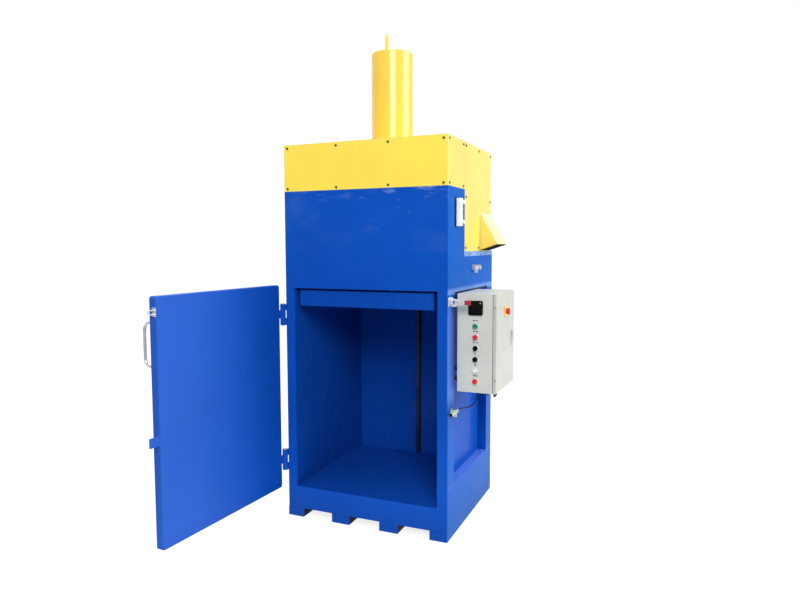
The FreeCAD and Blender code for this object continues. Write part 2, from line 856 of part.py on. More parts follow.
def hydraulic_pipes():
    """Suction, pressure and two cylinder lines."""
    pump, block = motor_centre(), valve_centre()
    w, d = valve_width / 2, valve_depth / 2
    level = valve_port_level()
    tank = suction_port() + Y * tank_wall
    lower, upper = lower_port(), upper_port()
    pump_in = V(pump.x - bell_length - pump_length / 2, pump.y - pump_width / 2, pump.z)
    suction = pipe([tank, tank + Y * pipe_step, pump_in - Y * pipe_step, pump_in],
                   suction_radius, pipe_bend + 4)
    pump_out = V(pump.x - bell_length - pump_length, pump.y, pump.z)
    side = V(block.x + w, block.y + 20, level)
    turn = side + X * (pipe_step - 10)
    pressure = pipe([pump_out, V(turn.x, pump_out.y, pump_out.z), turn, side], pressure_radius, pipe_bend)
    right = V(block.x + w / 2, block.y - d, level)
    lift = pipe([lower, lower + Y * (pipe_step - 15), V(right.x, lower.y + pipe_step - 15, lower.z),
                 V(right.x, lower.y + pipe_step - 15, level), right], pressure_radius, pipe_bend - 4)
    left = V(block.x - w / 2, block.y - d, level)
    high = cover_top_z - press_line_drop
    press = pipe([upper, V(0, upper.y, high), V(left.x, upper.y + 10, high), V(left.x, upper.y + 10, level), left],
                 press_line_radius, pipe_bend - 6)
    return group([suction, pressure, lift, press])


# ---------------------------------------------------------------- level gauge and drain valve
def gauge_centre():
    """Centre of the level gauge on the tank's side."""
    return V(half_width, front + gauge_back, crosshead_top + gauge_level)


def level_gauge():
    """Gauge body with end blocks, bolts and an open window slot."""
    c = gauge_centre()
    w, h, d = gauge_width / 2, gauge_height / 2, gauge_depth
    body = box(c.x, c.x + d, c.y - w, c.y + w, c.z - h, c.z + h)
    body = round_edges(body, 5, lambda e: abs(e.Vertexes[0].Point.x - c.x - d) < 1e-6
                       and abs(e.Vertexes[-1].Point.x - c.x - d) < 1e-6)
    slot = gauge_bolt_pitch / 2 - 14
    body = body.cut(box(c.x + 6, c.x + d, c.y - 9, c.y + 9, c.z - slot, c.z + slot))
    parts = [body]
    for sign in (1, -1):
        spot = V(c.x + d, c.y, c.z + sign * gauge_bolt_pitch / 2)
        parts.append(rod(spot, spot + X * 3, 11))
        parts.append(hexagon(spot + X * 3, X, 17, 7))
    return fuse(parts)


def gauge_window():
    """Clear sight tube in the gauge's slot."""
    c = gauge_centre()
    slot = gauge_bolt_pitch / 2 - 14
    return box(c.x + 6, c.x + gauge_depth - 3, c.y - 9, c.y + 9, c.z - slot, c.z + slot)


def drain_centre():
    """Where the drain pipe leaves the crosshead's side."""
    return V(half_width, front + drain_back, crosshead_top - drain_drop)


def drain_valve():
    """Ball valve on a short pipe, closed by a hexagon plug."""
    c = drain_centre()
    parts = [hexagon(c, X, 27, 8), rod(c + X * 8, c + X * 14, 8.5), rod(c + X * 14, c + X * 34, 13.5),
             hexagon(c + X * 34, X, 22, 8)]
    stem_foot = c + X * 24
    parts.append(rod(stem_foot, stem_foot - Y * 18, 6))
    return fuse(parts)


def drain_lever():
    """Flat handle on the valve's stem, with the nut that holds it."""
    hub = drain_centre() + X * 24 - Y * 18
    plate = box(hub.x - 7, hub.x + 7, hub.y - 4, hub.y, hub.z - 27, hub.z + 8)
    plate = round_edges(plate, 6, lambda e: abs(e.Vertexes[0].Point.y - e.Vertexes[-1].Point.y) > 3)
    return fuse([plate, hexagon(hub - Y * 4, -Y, 10, 5)])


# ---------------------------------------------------------------- chamber door
def door_span():
    """Closed door: left, right, outer face, inner face, bottom and top."""
    return (-half_width + door_left, half_width - door_right, front - door_gap - door_thickness,
            front - door_gap, floor_z - door_bottom_lap, ceiling_z + door_top_lap)


def door_panel():
    """Folded pan with return lips, stiffening channels and the sensor target."""
    x0, x1, y0, y1, z0, z1 = door_span()
    t = door_sheet
    pan = box(x0, x1, y0, y1, z0, z1)
    pan = round_edges(pan, 2 * corner_radius, lambda e: abs(e.Vertexes[0].Point.y - e.Vertexes[-1].Point.y) > 5)
    pan = round_edges(pan, corner_radius, lambda e: e.BoundBox.YMin > y1 - 1e-3)
    pan = pan.cut(box(x0 + t, x1 - t, y0 + t, y1 - t, z0 + t, z1 - t))
    pan = pan.cut(box(x0 + door_lip, x1 - door_lip, y0, y0 + t, z0 + door_lip, z1 - door_lip))
    parts = [pan]
    for k in range(stiffener_count):
        z = z0 + (z1 - z0) * (k + 1) / (stiffener_count + 1)
        bar = box(x0 + t, x1 - t, y0 + t + 1, y1 - t, z - stiffener_height / 2, z + stiffener_height / 2)
        bar = bar.cut(box(x0 + t, x1 - t, y0 + 2 * t + 1, y1 - t, z - stiffener_height / 2 + t,
                          z + stiffener_height / 2 - t))
        parts.append(bar)
    parts.append(box(x1 - 1, x1 + target_reach, y1 - 8, y1 - 3.5, sensor_level - 20, sensor_level + 20))
    return swing(fuse(parts))


def door_handle():
    """Bow handle near the free edge, on the outer lip."""
    x0, x1, y0, y1, z0, z1 = door_span()
    x = x1 - door_lip / 2
    out = y0 - handle_reach
    bow = pipe([V(x, y0, handle_low), V(x, out, handle_low), V(x, out, handle_high), V(x, y0, handle_high)],
               handle_radius, handle_bend)
    feet = [rod(V(x, y0, z), V(x, y0 - 4, z), handle_radius + 4.5) for z in (handle_low, handle_high)]
    return swing(fuse([bow] + feet))


def catch_path():
    """Corner points of the staple with the door closed, from one foot round to the other."""
    x0, x1, y0, y1, z0, z1 = door_span()
    y = y1 - catch_inset
    tip = x1 + catch_reach
    low, high = latch_level - catch_pitch / 2, latch_level + catch_pitch / 2
    return [V(x1 + 3, y, low), V(tip - catch_lip_length, y, low), V(tip, y - catch_lip, low),
            V(tip, y - catch_lip, high), V(tip - catch_lip_length, y, high), V(x1 + 3, y, high)]


def door_catch():
    """Staple on the door's free edge that the latch loop pulls, with its tip bent forward."""
    x0, x1, y0, y1, z0, z1 = door_span()
    points = catch_path()
    staple = pipe(points, catch_wire, 4)
    foot = box(x1, x1 + 3, points[0].y - 12, y1 - 2, points[0].z - 10, points[-1].z + 10)
    return swing(fuse([staple, foot]))


def knuckle_levels(base):
    """Lower edge and height of each of a hinge's knuckles."""
    z = base
    levels = []
    for height in knuckle_heights:
        levels.append((z, height - knuckle_gap))
        z += height
    return levels


def knuckle(level, height):
    """One bored hinge knuckle."""
    start = V(hinge_x, hinge_y, level)
    return ring(start, start + Z * height, knuckle_radius, pin_radius + pin_gap)


def frame_knuckles():
    """Outer knuckles of both hinges, on leaves welded to the body's side."""
    made = []
    for base in hinge_levels:
        for level, height in (knuckle_levels(base)[0], knuckle_levels(base)[2]):
            leaf = box(-half_width - leaf_plate, -half_width, hinge_y - 2, hinge_y + leaf_length, level,
                       level + height)
            bore = rod(V(hinge_x, hinge_y, level), V(hinge_x, hinge_y, level + height), pin_radius + pin_gap)
            made.append(fuse([knuckle(level, height), leaf]).cut(bore))
    return group(made)


def door_knuckles():
    """Middle knuckles of both hinges, on leaves welded to the door's edge."""
    x0, x1, y0, y1, z0, z1 = door_span()
    made = []
    for base in hinge_levels:
        level, height = knuckle_levels(base)[1]
        leaf = box(hinge_x, x0, hinge_y - 3 - leaf_plate, hinge_y - 3, level, level + height)
        foot = box(x0 - 3, x0, y0 + 4, hinge_y - 3, level, level + height)
        bore = rod(V(hinge_x, hinge_y, level), V(hinge_x, hinge_y, level + height), pin_radius + pin_gap)
        made.append(swing(fuse([knuckle(level, height), leaf, foot]).cut(bore)))
    return group(made)


def hinge_pins():
    """Headed pins through both hinges."""
    pins = []
    for base in hinge_levels:
        low, height = knuckle_levels(base)[2]
        top = low + height
        pins.append(fuse([rod(V(hinge_x, hinge_y, base - 3), V(hinge_x, hinge_y, top), pin_radius),
                          rod(V(hinge_x, hinge_y, top), V(hinge_x, hinge_y, top + 4), knuckle_radius - 1)]))
    return group(pins)


# ---------------------------------------------------------------- latch
def latch_pivot():
    """Axis of the latch lever."""
    return V(half_width + latch_out, front + latch_back, latch_level)


def link_place():
    """Axis of the pin that carries the loop."""
    angle = math.radians(latch_rise)
    return latch_pivot() + V(latch_arm * math.cos(angle), latch_arm * math.sin(angle), 0)


def strap(start, end, half, low):
    """A flat bar in plan from one axis to another, round at its far end."""
    along = (end - start).normalize()
    across = V(-along.y, along.x, 0) * half
    lift = Z * (low - start.z)
    bar = prism([start + across + lift, start - across + lift, end - across + lift, end + across + lift],
                Z * latch_plate)
    return bar.fuse(rod(end + lift, end + lift + Z * latch_plate, half))


def latch_base():
    """Base plate on the body's side with two ears, the pivot pin and four screws."""
    p = latch_pivot()
    wall = half_width
    plate = box(wall, wall + latch_plate, front + 4, front + 56, latch_level - 21, latch_level + 21)
    plate = round_edges(plate, 5, lambda e: abs(e.Vertexes[0].Point.x - e.Vertexes[-1].Point.x) > 2)
    parts = [plate]
    for sign in (1, -1):
        low = latch_level + sign * 6.5 - latch_plate / 2
        ear = box(wall + latch_plate, p.x, p.y - 6, p.y + 6, low, low + latch_plate)
        parts += [ear, rod(V(p.x, p.y, low), V(p.x, p.y, low + latch_plate), 6)]
        for y in (front + 11, front + 49):
            spot = V(wall + latch_plate, y, latch_level + sign * 14.5)
            parts.append(rod(spot, spot + X * 3, 5).cut(hexagon(spot + X * 1.2, X, 4, 3)))
    parts.append(rod(V(p.x, p.y, latch_level - 11.8), V(p.x, p.y, latch_level + 11.8), latch_pin))
    return fuse(parts)


def latch_lever():
    """Channel-shaped lever on the pivot pin, standing out from the side, with the loop's pin behind it."""
    p, q = latch_pivot(), link_place()
    end = p.x + latch_lever_length
    parts = []
    for sign in (1, -1):
        low = latch_level + sign * 10 - latch_plate / 2
        parts.append(box(p.x, end, p.y - 5, p.y + 5, low, low + latch_plate))
        parts.append(rod(V(p.x, p.y, low), V(p.x, p.y, low + latch_plate), 6))
        parts.append(strap(p, q, 4, low))
    web = box(p.x + 14, end, p.y - 5, p.y - 5 + latch_plate, latch_level - 9, latch_level + 9)
    web = web.cut(box(p.x + 24, end - 10, p.y - 5, p.y, latch_level - 2.5, latch_level + 2.5))
    tang = box(end, end + grip_length - 4, p.y - 3, p.y + 3, latch_level - 7, latch_level + 7)
    block = box(end - 6, end, p.y - 5, p.y + 5, latch_level - 9, latch_level + 9)
    parts += [web, tang, block]
    parts.append(rod(V(q.x, q.y, latch_level - 17), V(q.x, q.y, latch_level + 17), link_pin))
    shape = fuse(parts)
    return shape.cut(rod(V(p.x, p.y, latch_level - 15), V(p.x, p.y, latch_level + 15), latch_pin + pin_gap))


def latch_grip():
    """Red sleeve over the lever's end."""
    p = latch_pivot()
    start = p.x + latch_lever_length
    sleeve = box(start, start + grip_length, p.y - 6, p.y + 6, latch_level - 11, latch_level + 11)
    sleeve = round_edges(sleeve, 4, lambda e: e.BoundBox.XMax > start + 1)
    return sleeve.cut(box(start, start + grip_length - 4, p.y - 3, p.y + 3, latch_level - 7, latch_level + 7))


def latch_loop():
    """Bent-wire loop on the link pin that hooks in front of the staple; it hangs loose to the side."""
    q = link_place()
    tip = catch_path()[0].y - catch_wire - loop_wire - loop_clearance
    far = q.x - loop_bend
    low, high = latch_level - loop_arm, latch_level + loop_arm
    wire = pipe([V(q.x, q.y - 3, low), V(q.x, tip, low), V(far, tip, low), V(far, tip, high),
                 V(q.x, tip, high), V(q.x, q.y - 3, high)], loop_wire, 5)
    eyes = [rod(V(q.x, q.y, z - 2.5), V(q.x, q.y, z + 2.5), 4.5) for z in (low, high)]
    bore = rod(V(q.x, q.y, low - 5), V(q.x, q.y, high + 5), link_pin + pin_gap)
    loop = fuse([wire] + eyes).cut(bore)
    loop.rotate(q, Z, loop_tilt)
    return loop


# ---------------------------------------------------------------- control box
def box_span():
    """Control box: inner side, outer side, front, rear, bottom and top."""
    x0 = half_width + box_gap
    y0 = front + box_front
    return x0, x0 + box_width, y0, y0 + box_length, box_bottom, box_bottom + box_height


def box_shell():
    """Folded housing, open on its +X side, with a lip for the door and its holes."""
    x0, x1, y0, y1, z0, z1 = box_span()
    t = box_sheet
    shell = box(x0, x1, y0, y1, z0, z1).cut(box(x0 + t, x1, y0 + t, y1 - t, z0 + t, z1 - t))
    lip = box(x1 - t, x1, y0 + t, y1 - t, z0 + t, z1 - t)
    lip = lip.cut(box(x1 - t, x1, y0 + 16, y1 - 16, z0 + 16, z1 - 16))
    a = box_hinge_axis()
    lugs = []
    for z in box_hinge_levels():
        lug = fuse([box(x1, a.x, a.y - 3, a.y + 5, z, z + 4), rod(V(a.x, a.y, z), V(a.x, a.y, z + 4), 4.3)])
        lugs.append(lug.cut(rod(V(a.x, a.y, z), V(a.x, a.y, z + 4), box_hinge_pin + running_gap)))
    shell = fuse([shell, lip] + lugs)
    for spot in button_spots():
        shell = shell.cut(rod(spot, spot + Y * t, button_hole))
    s = switch_spot()
    shell = shell.cut(rod(s, s + Y * t, 15))
    for g in gland_spots():
        shell = shell.cut(rod(g, g + Z * t, 10))
    return shell


def button_spots():
    """Centres of the six push-button holes on the box's front."""
    x0, x1, y0, y1, z0, z1 = box_span()
    return [V(x0 + button_inset, y0, z0 + lowest_button + k * button_pitch) for k in range(6)]


def switch_spot():
    """Centre of the square switch on the box's front."""
    x0, x1, y0, y1, z0, z1 = box_span()
    return V(x0 + button_inset, y0, z0 + switch_rise)


def gland_spots():
    """Centres of the cable glands in the box's floor: the sensor lead's, then the two power cables'."""
    x0, x1, y0, y1, z0, z1 = box_span()
    return [V(x0 + 60, y0 + 130, z0), V(x0 + 70, y1 - 84, z0), V(x0 + 105, y1 - 84, z0)]


def box_hinge_levels():
    """Heights of the control box's two hinge lugs."""
    x0, x1, y0, y1, z0, z1 = box_span()
    return (z0 + 60, z1 - 64)


def box_hinge_axis():
    """Plan position of the control box's hinge pins."""
    x0, x1, y0, y1, z0, z1 = box_span()
    return V(x1 + box_door_gap + box_hinge_inset, y0 + box_hinge_inset, 0)


def box_door():
    """Folded door of the control box, with two pins on ears inside its front corner."""
    x0, x1, y0, y1, z0, z1 = box_span()
    t = box_sheet
    d = x1 + box_door_gap
    skin = d + box_door_thickness - t
    shape = box(d, d + box_door_thickness, y0, y1, z0, z1)
    shape = round_edges(shape, 4, lambda e: e.BoundBox.XMin > d + box_door_thickness - 1)
    shape = shape.cut(box(d, skin, y0 + t, y1 - t, z0 + t, z1 - t))
    i = isolator_spot()
    shape = shape.cut(rod(i - X * t, i, 12))
    k = lock_spot()
    shape = shape.cut(rod(k - X * t, k, 9))
    a = box_hinge_axis()
    for z in box_hinge_levels():
        shape = shape.cut(box(d, skin - 1, y0, y0 + t, z - 2, z + 6))
        for ear in (z - 8, z + 10):
            shape = shape.fuse(box(a.x - 3, skin, y0 + t, a.y + 4, ear, ear + 2))
        shape = shape.fuse(rod(V(a.x, a.y, z - 8), V(a.x, a.y, z + 12), box_hinge_pin))
    return shape


def isolator_spot():
    """Centre of the isolator on the box door's face."""
    x0, x1, y0, y1, z0, z1 = box_span()
    return V(x1 + box_door_gap + box_door_thickness, y0 + isolator_back, z0 + isolator_rise)


def lock_spot():
    """Centre of the lock on the box door's face."""
    x0, x1, y0, y1, z0, z1 = box_span()
    return V(x1 + box_door_gap + box_door_thickness, y1 - lock_inset, z0 + lock_rise)


def box_lock():
    """Lever lock with its cam inside the shell, stored unlocked with the cam pointing down."""
    x0, x1, y0, y1, z0, z1 = box_span()
    k = lock_spot()
    shaft = rod(V(x1 - box_sheet - 6, k.y, k.z), k, 8.95)
    handle = box(k.x, k.x + 10, k.y - 10, k.y + 10, k.z - 23, k.z + 47)
    handle = round_edges(handle, 4, lambda e: e.BoundBox.XMax > k.x + 9)
    cam = box(x1 - box_sheet - 6, x1 - box_sheet - 2, k.y - 8, k.y + 8, k.z - 45, k.z + 8)
    return fuse([shaft, handle, cam])


def box_brackets():
    """Four stand-offs between the recess and the box."""
    x0, x1, y0, y1, z0, z1 = box_span()
    made = []
    for y in (y0 + 60, y1 - 45):
        for z in (z0 + 50, min(z1 - 50, recess_top - 45)):
            wall = inner + side_plate
            made.append(fuse([ring(V(wall, y, z), V(x0, y, z), 12, 5), box(wall, wall + 4, y - 25, y + 25,
                              z - 20, z + 20).cut(rod(V(wall, y, z), V(wall + 4, y, z), 5))]))
    return group(made)


def bezel(spot):
    """Front ring and threaded body of one push button."""
    body = ring(spot, spot + Y * 28, button_hole - 0.1, 8)
    front_ring = ring(spot - Y * bezel_height, spot, bezel_radius, cap_radius + 0.3)
    seat = ring(spot - Y * 1.0, spot, cap_radius + 0.4, 8)
    return fuse([body, front_ring, seat])


def button_bezels():
    """The six identical bezels."""
    return group([bezel(spot) for spot in button_spots()])


def button_cap(spot):
    """Push cap with its stem, standing proud of the bezel by its travel."""
    face = rod(spot - Y * (1.4 + cap_travel + cap_height), spot - Y * (1.4 + cap_travel), cap_radius)
    face = round_edges(face, 1.5, lambda e: abs(e.Vertexes[0].Point.y - face.BoundBox.YMin) < 1e-3)
    stem = rod(spot - Y * (1.4 + cap_travel), spot + Y * 18, stem_radius)
    return fuse([face, stem])


def selector_cap(spot):
    """Turning knob with a grip bar."""
    hub = rod(spot - Y * 8, spot - Y * 1.3, cap_radius)
    bar = box(spot.x - 4, spot.x + 4, spot.y - 20, spot.y - 8, spot.z - cap_radius, spot.z + cap_radius)
    stem = rod(spot - Y * 1.3, spot + Y * 18, stem_radius)
    return fuse([hub, bar, stem])


def switch_plate():
    """Square plate of the rotary switch with its body behind the box's front."""
    s = switch_spot()
    h = switch_plate_size / 2
    plate = box(s.x - h, s.x + h, s.y - 6, s.y, s.z - h, s.z + h)
    plate = round_edges(plate, 8, lambda e: abs(e.Vertexes[0].Point.y - e.Vertexes[-1].Point.y) > 3)
    hub = ring(s, s + Y * 32, 14.9, 4)
    return fuse([plate, hub]).cut(rod(s - Y * 6, s + Y * 32, 4))


def switch_knob():
    """Pointer knob of the rotary switch."""
    s = switch_spot()
    hub = rod(s - Y * 18, s - Y * 6.3, 18)
    bar = box(s.x - 5, s.x + 5, s.y - 27, s.y - 18, s.z - 18, s.z + 22)
    stem = rod(s - Y * 6.3, s + Y * 26, 3.95)
    return fuse([hub, bar, stem])


def isolator_plate():
    """Square plate of the isolator on the box door."""
    i = isolator_spot()
    h = isolator_size / 2
    plate = box(i.x, i.x + 5, i.y - h, i.y + h, i.z - h, i.z + h)
    plate = round_edges(plate, 6, lambda e: abs(e.Vertexes[0].Point.x - e.Vertexes[-1].Point.x) > 3)
    return plate.fuse(rod(i - X * 20, i, 11.9)).cut(rod(i - X * 20, i + X * 5, 5))


def isolator_knob():
    """Red rotary handle of the isolator."""
    i = isolator_spot()
    hub = rod(i + X * 5.3, i + X * 12, 14)
    bar = box(i.x + 12, i.x + 22, i.y - 5, i.y + 5, i.z - 16, i.z + 16)
    bar = round_edges(bar, 3, lambda e: max(v.Point.x for v in e.Vertexes) > i.x + 21)
    stem = rod(i - X * 16, i + X * 5.3, 4.95)
    return fuse([hub, bar, stem])


def cable_glands():
    """Glands in the box's floor and in the crosshead's underside."""
    glands = []
    for g in gland_spots():
        glands.append(fuse([gland(g), rod(g, g + Z * 12, 9.9)]))
    for g in entry_spots():
        glands.append(gland(g))
    return group(glands)


def gland(spot):
    """Nut and sleeve below a wall."""
    return fuse([hexagon(spot - Z * 8, Z, 24, 8), rod(spot - Z * gland_reach, spot - Z * 8, 10)])


def entry_spots():
    """Where the two power cables enter the crosshead's underside, in the side recess."""
    y0 = front + box_front
    x = inner + post_width / 2
    return [V(x, y0 + entry_back + k * entry_pitch, recess_top) for k in range(2)]


def cable(points, radius):
    """A cable of straight runs with wide tangent bends, as large as the runs allow."""
    edges = []
    start = points[0]
    for before, corner, after in zip(points[:-2], points[1:-1], points[2:]):
        run_in, run_out = corner - before, after - corner
        turn = run_in.getAngle(run_out)
        reach = 0.45 * min(run_in.Length, run_out.Length)
        bend = reach / math.tan(turn / 2)
        into, out = V(run_in).normalize(), V(run_out).normalize()
        a, b = corner - into * reach, corner + out * reach
        bulge = corner + (out - into).normalize() * (bend / math.cos(turn / 2) - bend)
        edges.append(Part.LineSegment(start, a).toShape())
        edges.append(Part.Arc(a, bulge, b).toShape())
        start = b
    edges.append(Part.LineSegment(start, points[-1]).toShape())
    path = Part.Wire(edges)
    profile = Part.Wire([Part.Circle(points[0], points[1] - points[0], radius).toShape()])
    return path.makePipeShell([profile], True, False)


def sweep_points(start, start_way, end, end_way, slack, steps):
    """Points along a curve that leaves and arrives square, with a short straight run at each end."""
    lead_in = slack / 5
    a, d = start + start_way * lead_in, end + end_way * lead_in
    b, c = a + start_way * slack, d + end_way * slack
    points = [start]
    for k in range(steps + 1):
        t = k / steps
        u = 1 - t
        points.append(a * (u ** 3) + b * (3 * u * u * t) + c * (3 * u * t * t) + d * (t ** 3))
    return points + [end]


def box_cables():
    """Sensor lead and the two power cables between their glands."""
    below = [spot - Z * gland_reach for spot in gland_spots()]
    cables = [cable(sweep_points(sensor_axis(sensor_length + sensor_tail), Y, below[0], -Z, 80, 4), lead_radius)]
    behind = front + box_front + box_length + cable_stand_off
    for k, (spot, entry) in enumerate(zip(below[1:], entry_spots())):
        top = entry - Z * gland_reach
        low = spot.z - cable_drop - k * 7
        riser = V(spot.x - 12, behind + k * 10, low)
        points = [spot, V(spot.x, spot.y, low), riser, riser + Z * 190, V(top.x, top.y, low + 330), top]
        cables.append(pipe(points, power_radius, cable_bend))
    return group(cables)


# ---------------------------------------------------------------- door sensor
def sensor_axis(back):
    """A point on the sensor's axis, behind its face."""
    return V(half_width + sensor_out, front - sensor_setback + back, sensor_level)


def door_sensor():
    """Barrel sensor clamped by two nuts in an angle bracket on the body's side."""
    barrel = rod(sensor_axis(0), sensor_axis(sensor_length), sensor_radius)
    tail = rod(sensor_axis(sensor_length), sensor_axis(sensor_length + sensor_tail), 7)
    bracket_y = front + 34
    at = bracket_y - front + sensor_setback
    nuts = [hexagon(sensor_axis(at - 5), Y, 24, 5), hexagon(sensor_axis(at + 4), Y, 24, 5)]
    body = fuse([barrel, tail] + nuts)
    c = sensor_axis(at)
    plate = box(half_width, c.x + 16, c.y, c.y + 4, c.z - 16, c.z + 16)
    foot = box(half_width, half_width + 3, c.y + 4, c.y + 30, c.z - 16, c.z + 16)
    bracket = fuse([plate, foot]).cut(rod(c, c + Y * 4, sensor_radius))
    return group([body, bracket])


def build():
    """Make every node."""
    for maker in (skid_runners, base_frame, front_frame, columns, side_panels, back_panel, guide_rail,
                  crosshead, oil_tank, filler_breather, cover_frame, cover_front, cover_left, cover_right,
                  cover_rear, cover_top, cover_screws, vent_hood, cylinder_guard, top_breather,
                  cylinder_barrel, cylinder_bolts, platen, piston_rod, motor, pump_unit, valve_block,
                  hydraulic_pipes, level_gauge, gauge_window, drain_valve, drain_lever, door_panel,
                  door_handle, door_catch, frame_knuckles, door_knuckles, hinge_pins, latch_base,
                  latch_lever, latch_grip, latch_loop, box_shell, box_door, box_lock, box_brackets,
                  button_bezels, switch_plate, switch_knob, isolator_plate, isolator_knob, cable_glands,
                  box_cables, door_sensor):
        node(maker.__name__, maker())
    names = ("reset_button", "up_button", "down_button", "mode_selector", "stop_button", "start_button")
    for name, spot in zip(names, button_spots()):
        node(name, selector_cap(spot) if name == "mode_selector" else button_cap(spot))


build()
os.makedirs("parts", exist_ok=True)
for name, shape in NODES.items():
    if not shape.isValid():
        print("not valid:", name)
    shape.exportStep("parts/%s.step" % name)
print(len(NODES), "nodes")
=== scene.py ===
"""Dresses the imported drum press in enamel, plated steel and rubber, and adds the small parts of its trim."""
import math

import bmesh
import bpy
from bpy.props import FloatProperty, FloatVectorProperty, PointerProperty
from mathutils import Matrix, Vector


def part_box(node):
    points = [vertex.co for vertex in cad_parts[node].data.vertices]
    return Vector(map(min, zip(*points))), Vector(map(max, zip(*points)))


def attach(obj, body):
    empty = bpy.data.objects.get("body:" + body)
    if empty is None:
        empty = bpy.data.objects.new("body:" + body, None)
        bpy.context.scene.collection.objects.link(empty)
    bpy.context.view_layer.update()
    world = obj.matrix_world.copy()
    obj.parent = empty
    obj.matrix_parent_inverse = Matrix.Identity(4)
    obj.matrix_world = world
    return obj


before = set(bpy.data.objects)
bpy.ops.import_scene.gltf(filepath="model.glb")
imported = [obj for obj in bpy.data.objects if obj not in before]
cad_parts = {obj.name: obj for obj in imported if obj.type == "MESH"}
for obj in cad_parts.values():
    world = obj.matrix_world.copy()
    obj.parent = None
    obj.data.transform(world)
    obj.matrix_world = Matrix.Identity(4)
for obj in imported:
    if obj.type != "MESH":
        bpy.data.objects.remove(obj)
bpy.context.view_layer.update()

bl_info = {
    "name": "Drum press dressing",
    "version": (1, 0, 0),
    "blender": (4, 5, 0),
    "location": "3D View > Sidebar > Drum press",
    "description": "Finishes and trim for a vertical drum press",
    "category": "Object",
}

# ---------------------------------------------------------------- places and sizes, in metres
CHAMBER_SIDE = 0.3805           # the pressing chamber's inner faces lie just inside these four
CHAMBER_FLOOR = 0.1565
CHAMBER_CEILING = 1.1775
CHAMBER_FRONT = -0.3825
CHAMBER_WALL_INSET = 0.051      # chamber's wall from the base frame's outer face
RECESS_FROM_FRONT = 0.092       # side recess from the front columns' face
SKIN = 0.002                    # depth under a face that still counts as that face
CLEAR = 0.0001                  # between a piece and the face that it lies on
RUNNER_WIDTHS = (0.088, 0.097, 0.097, 0.088)
KNUCKLE_HEIGHTS = (0.035, 0.041, 0.030)     # from the bottom: body's, door's, body's
BEAD_END = 0.004                # a bead stops short of the end of its seam
BEAD_PITCH = 0.45               # ripple's length, in bead widths
BEAD_RADIUS = 0.42              # in bead widths
BEAD_CREST, BEAD_TROUGH, BEAD_TIP = 1.28, 0.84, 0.5
RAIL_BREAK = 0.018              # half of the gap in the rear seam, for the guide rail
CORNER_BREAK = 0.006            # rear seam's ends from the chamber's corners
SEAL_INSET = 0.004              # door seal from the box door's edge
SEAL_WIDTH = 0.006
LEGEND_RISE = 0.0195            # a legend plate above the middle of its button
LEGEND_HALF_WIDTH = 0.0150
LEGEND_THICKNESS = 0.0010
LEGEND_BAR_HALF = 0.0022        # half of a bar's height
# Plain bars from left to right on each legend plate, from its middle.
LEGEND_BARS = {
    "start_button": ((-0.011, -0.002), (0.002, 0.011)),
    "stop_button": ((-0.012, -0.001), (0.002, 0.012)),
    "mode_selector": ((-0.012, -0.003), (0.004, 0.012)),
    "down_button": ((-0.004, 0.004),),
    "up_button": ((-0.006, 0.006),),
    "reset_button": ((-0.011, -0.001), (0.001, 0.012)),
}
LENS_INSET = 0.011              # switch lens from the plate's upper right corner
LENS_PROFILE = ((0.0, 0.0016), (0.0014, 0.0014), (0.0026, 0.0008), (0.0030, 0.0), (0.0034, -0.0004))
KEY_DROP = 0.056                # key plug below the top of the door lock
PLUG_PROFILE = ((0.0, 0.0006), (0.0056, 0.0006), (0.0064, 0.0), (0.0064, -0.0006))
SLOT_HALF_WIDTH = 0.0006
SLOT_HALF_HEIGHT = 0.004
SENSOR_OUT = 0.016              # door sensor's axis from the body's side
SENSOR_PROFILE = ((0.0, 0.0005), (0.0078, 0.0005), (0.0084, 0.0), (0.0084, -0.0005))
HOOD_ROOT = 0.004               # hood's lower edge above the deck, at the wall
HOOD_TIP = 0.035                # the same at the hood's outer tip
MAT_THICKNESS = 0.002
MAT_SINK = 0.0025               # shade sheet's lower face below the hood's edge
MAT_GAP = 0.003                 # shade sheet inside the hood's sheets
GAUGE_MARKS = 9
GAUGE_LONG_MARK = 0.006
GAUGE_SHORT_MARK = 0.0035
GASKET_THICKNESS = 0.0055
GASKET_RIM = 1.6                # rim of the gauge's gasket, in seal thicknesses
OIL_LEVEL = 0.62                # share of the gauge's window that is full
FLOOR_HALF = 14.0               # studio floor, from its middle to its edges
FLOOR_DROP = 0.0005             # studio floor below the feet
CAMERA_AHEAD = (-0.403, 0.915)  # direction of view in plan
CAMERA_SHIFT = (0.0209, -0.0032)

# ---------------------------------------------------------------- colours that no setting changes
# pale blue of the painted reflections and highlights on the glossy enamel
PAINTED_HIGHLIGHT_BLUE = (0.30, 0.46, 0.72)
# paler blue of the painted light beside the control box, on the ledge and on the door
PAINTED_LIGHT_BLUE = (0.18, 0.33, 0.94)
# lighter blue painted on the right side, as painted light
PAINTED_SIDE_LIGHT_BLUE = (0.003, 0.17, 0.50)
# near black of the painted shade in the fork tunnels and the gap over the side recess
PAINTED_SHADE_BLACK = (0.002, 0.006, 0.02)
PRIMER = (0.12, 0.11, 0.10)
SMUDGE = (0.30, 0.29, 0.26)
TARNISH = (0.20, 0.17, 0.13)
RUST = (0.17, 0.075, 0.03)
CLEAR_GLASS = (0.72, 0.76, 0.76)
OIL = (0.55, 0.30, 0.05)
SKY_WHITE = (0.97, 0.985, 1.0, 1.0)


# ---------------------------------------------------------------- shader helpers
NOISE_ROUGHNESS = 0.55


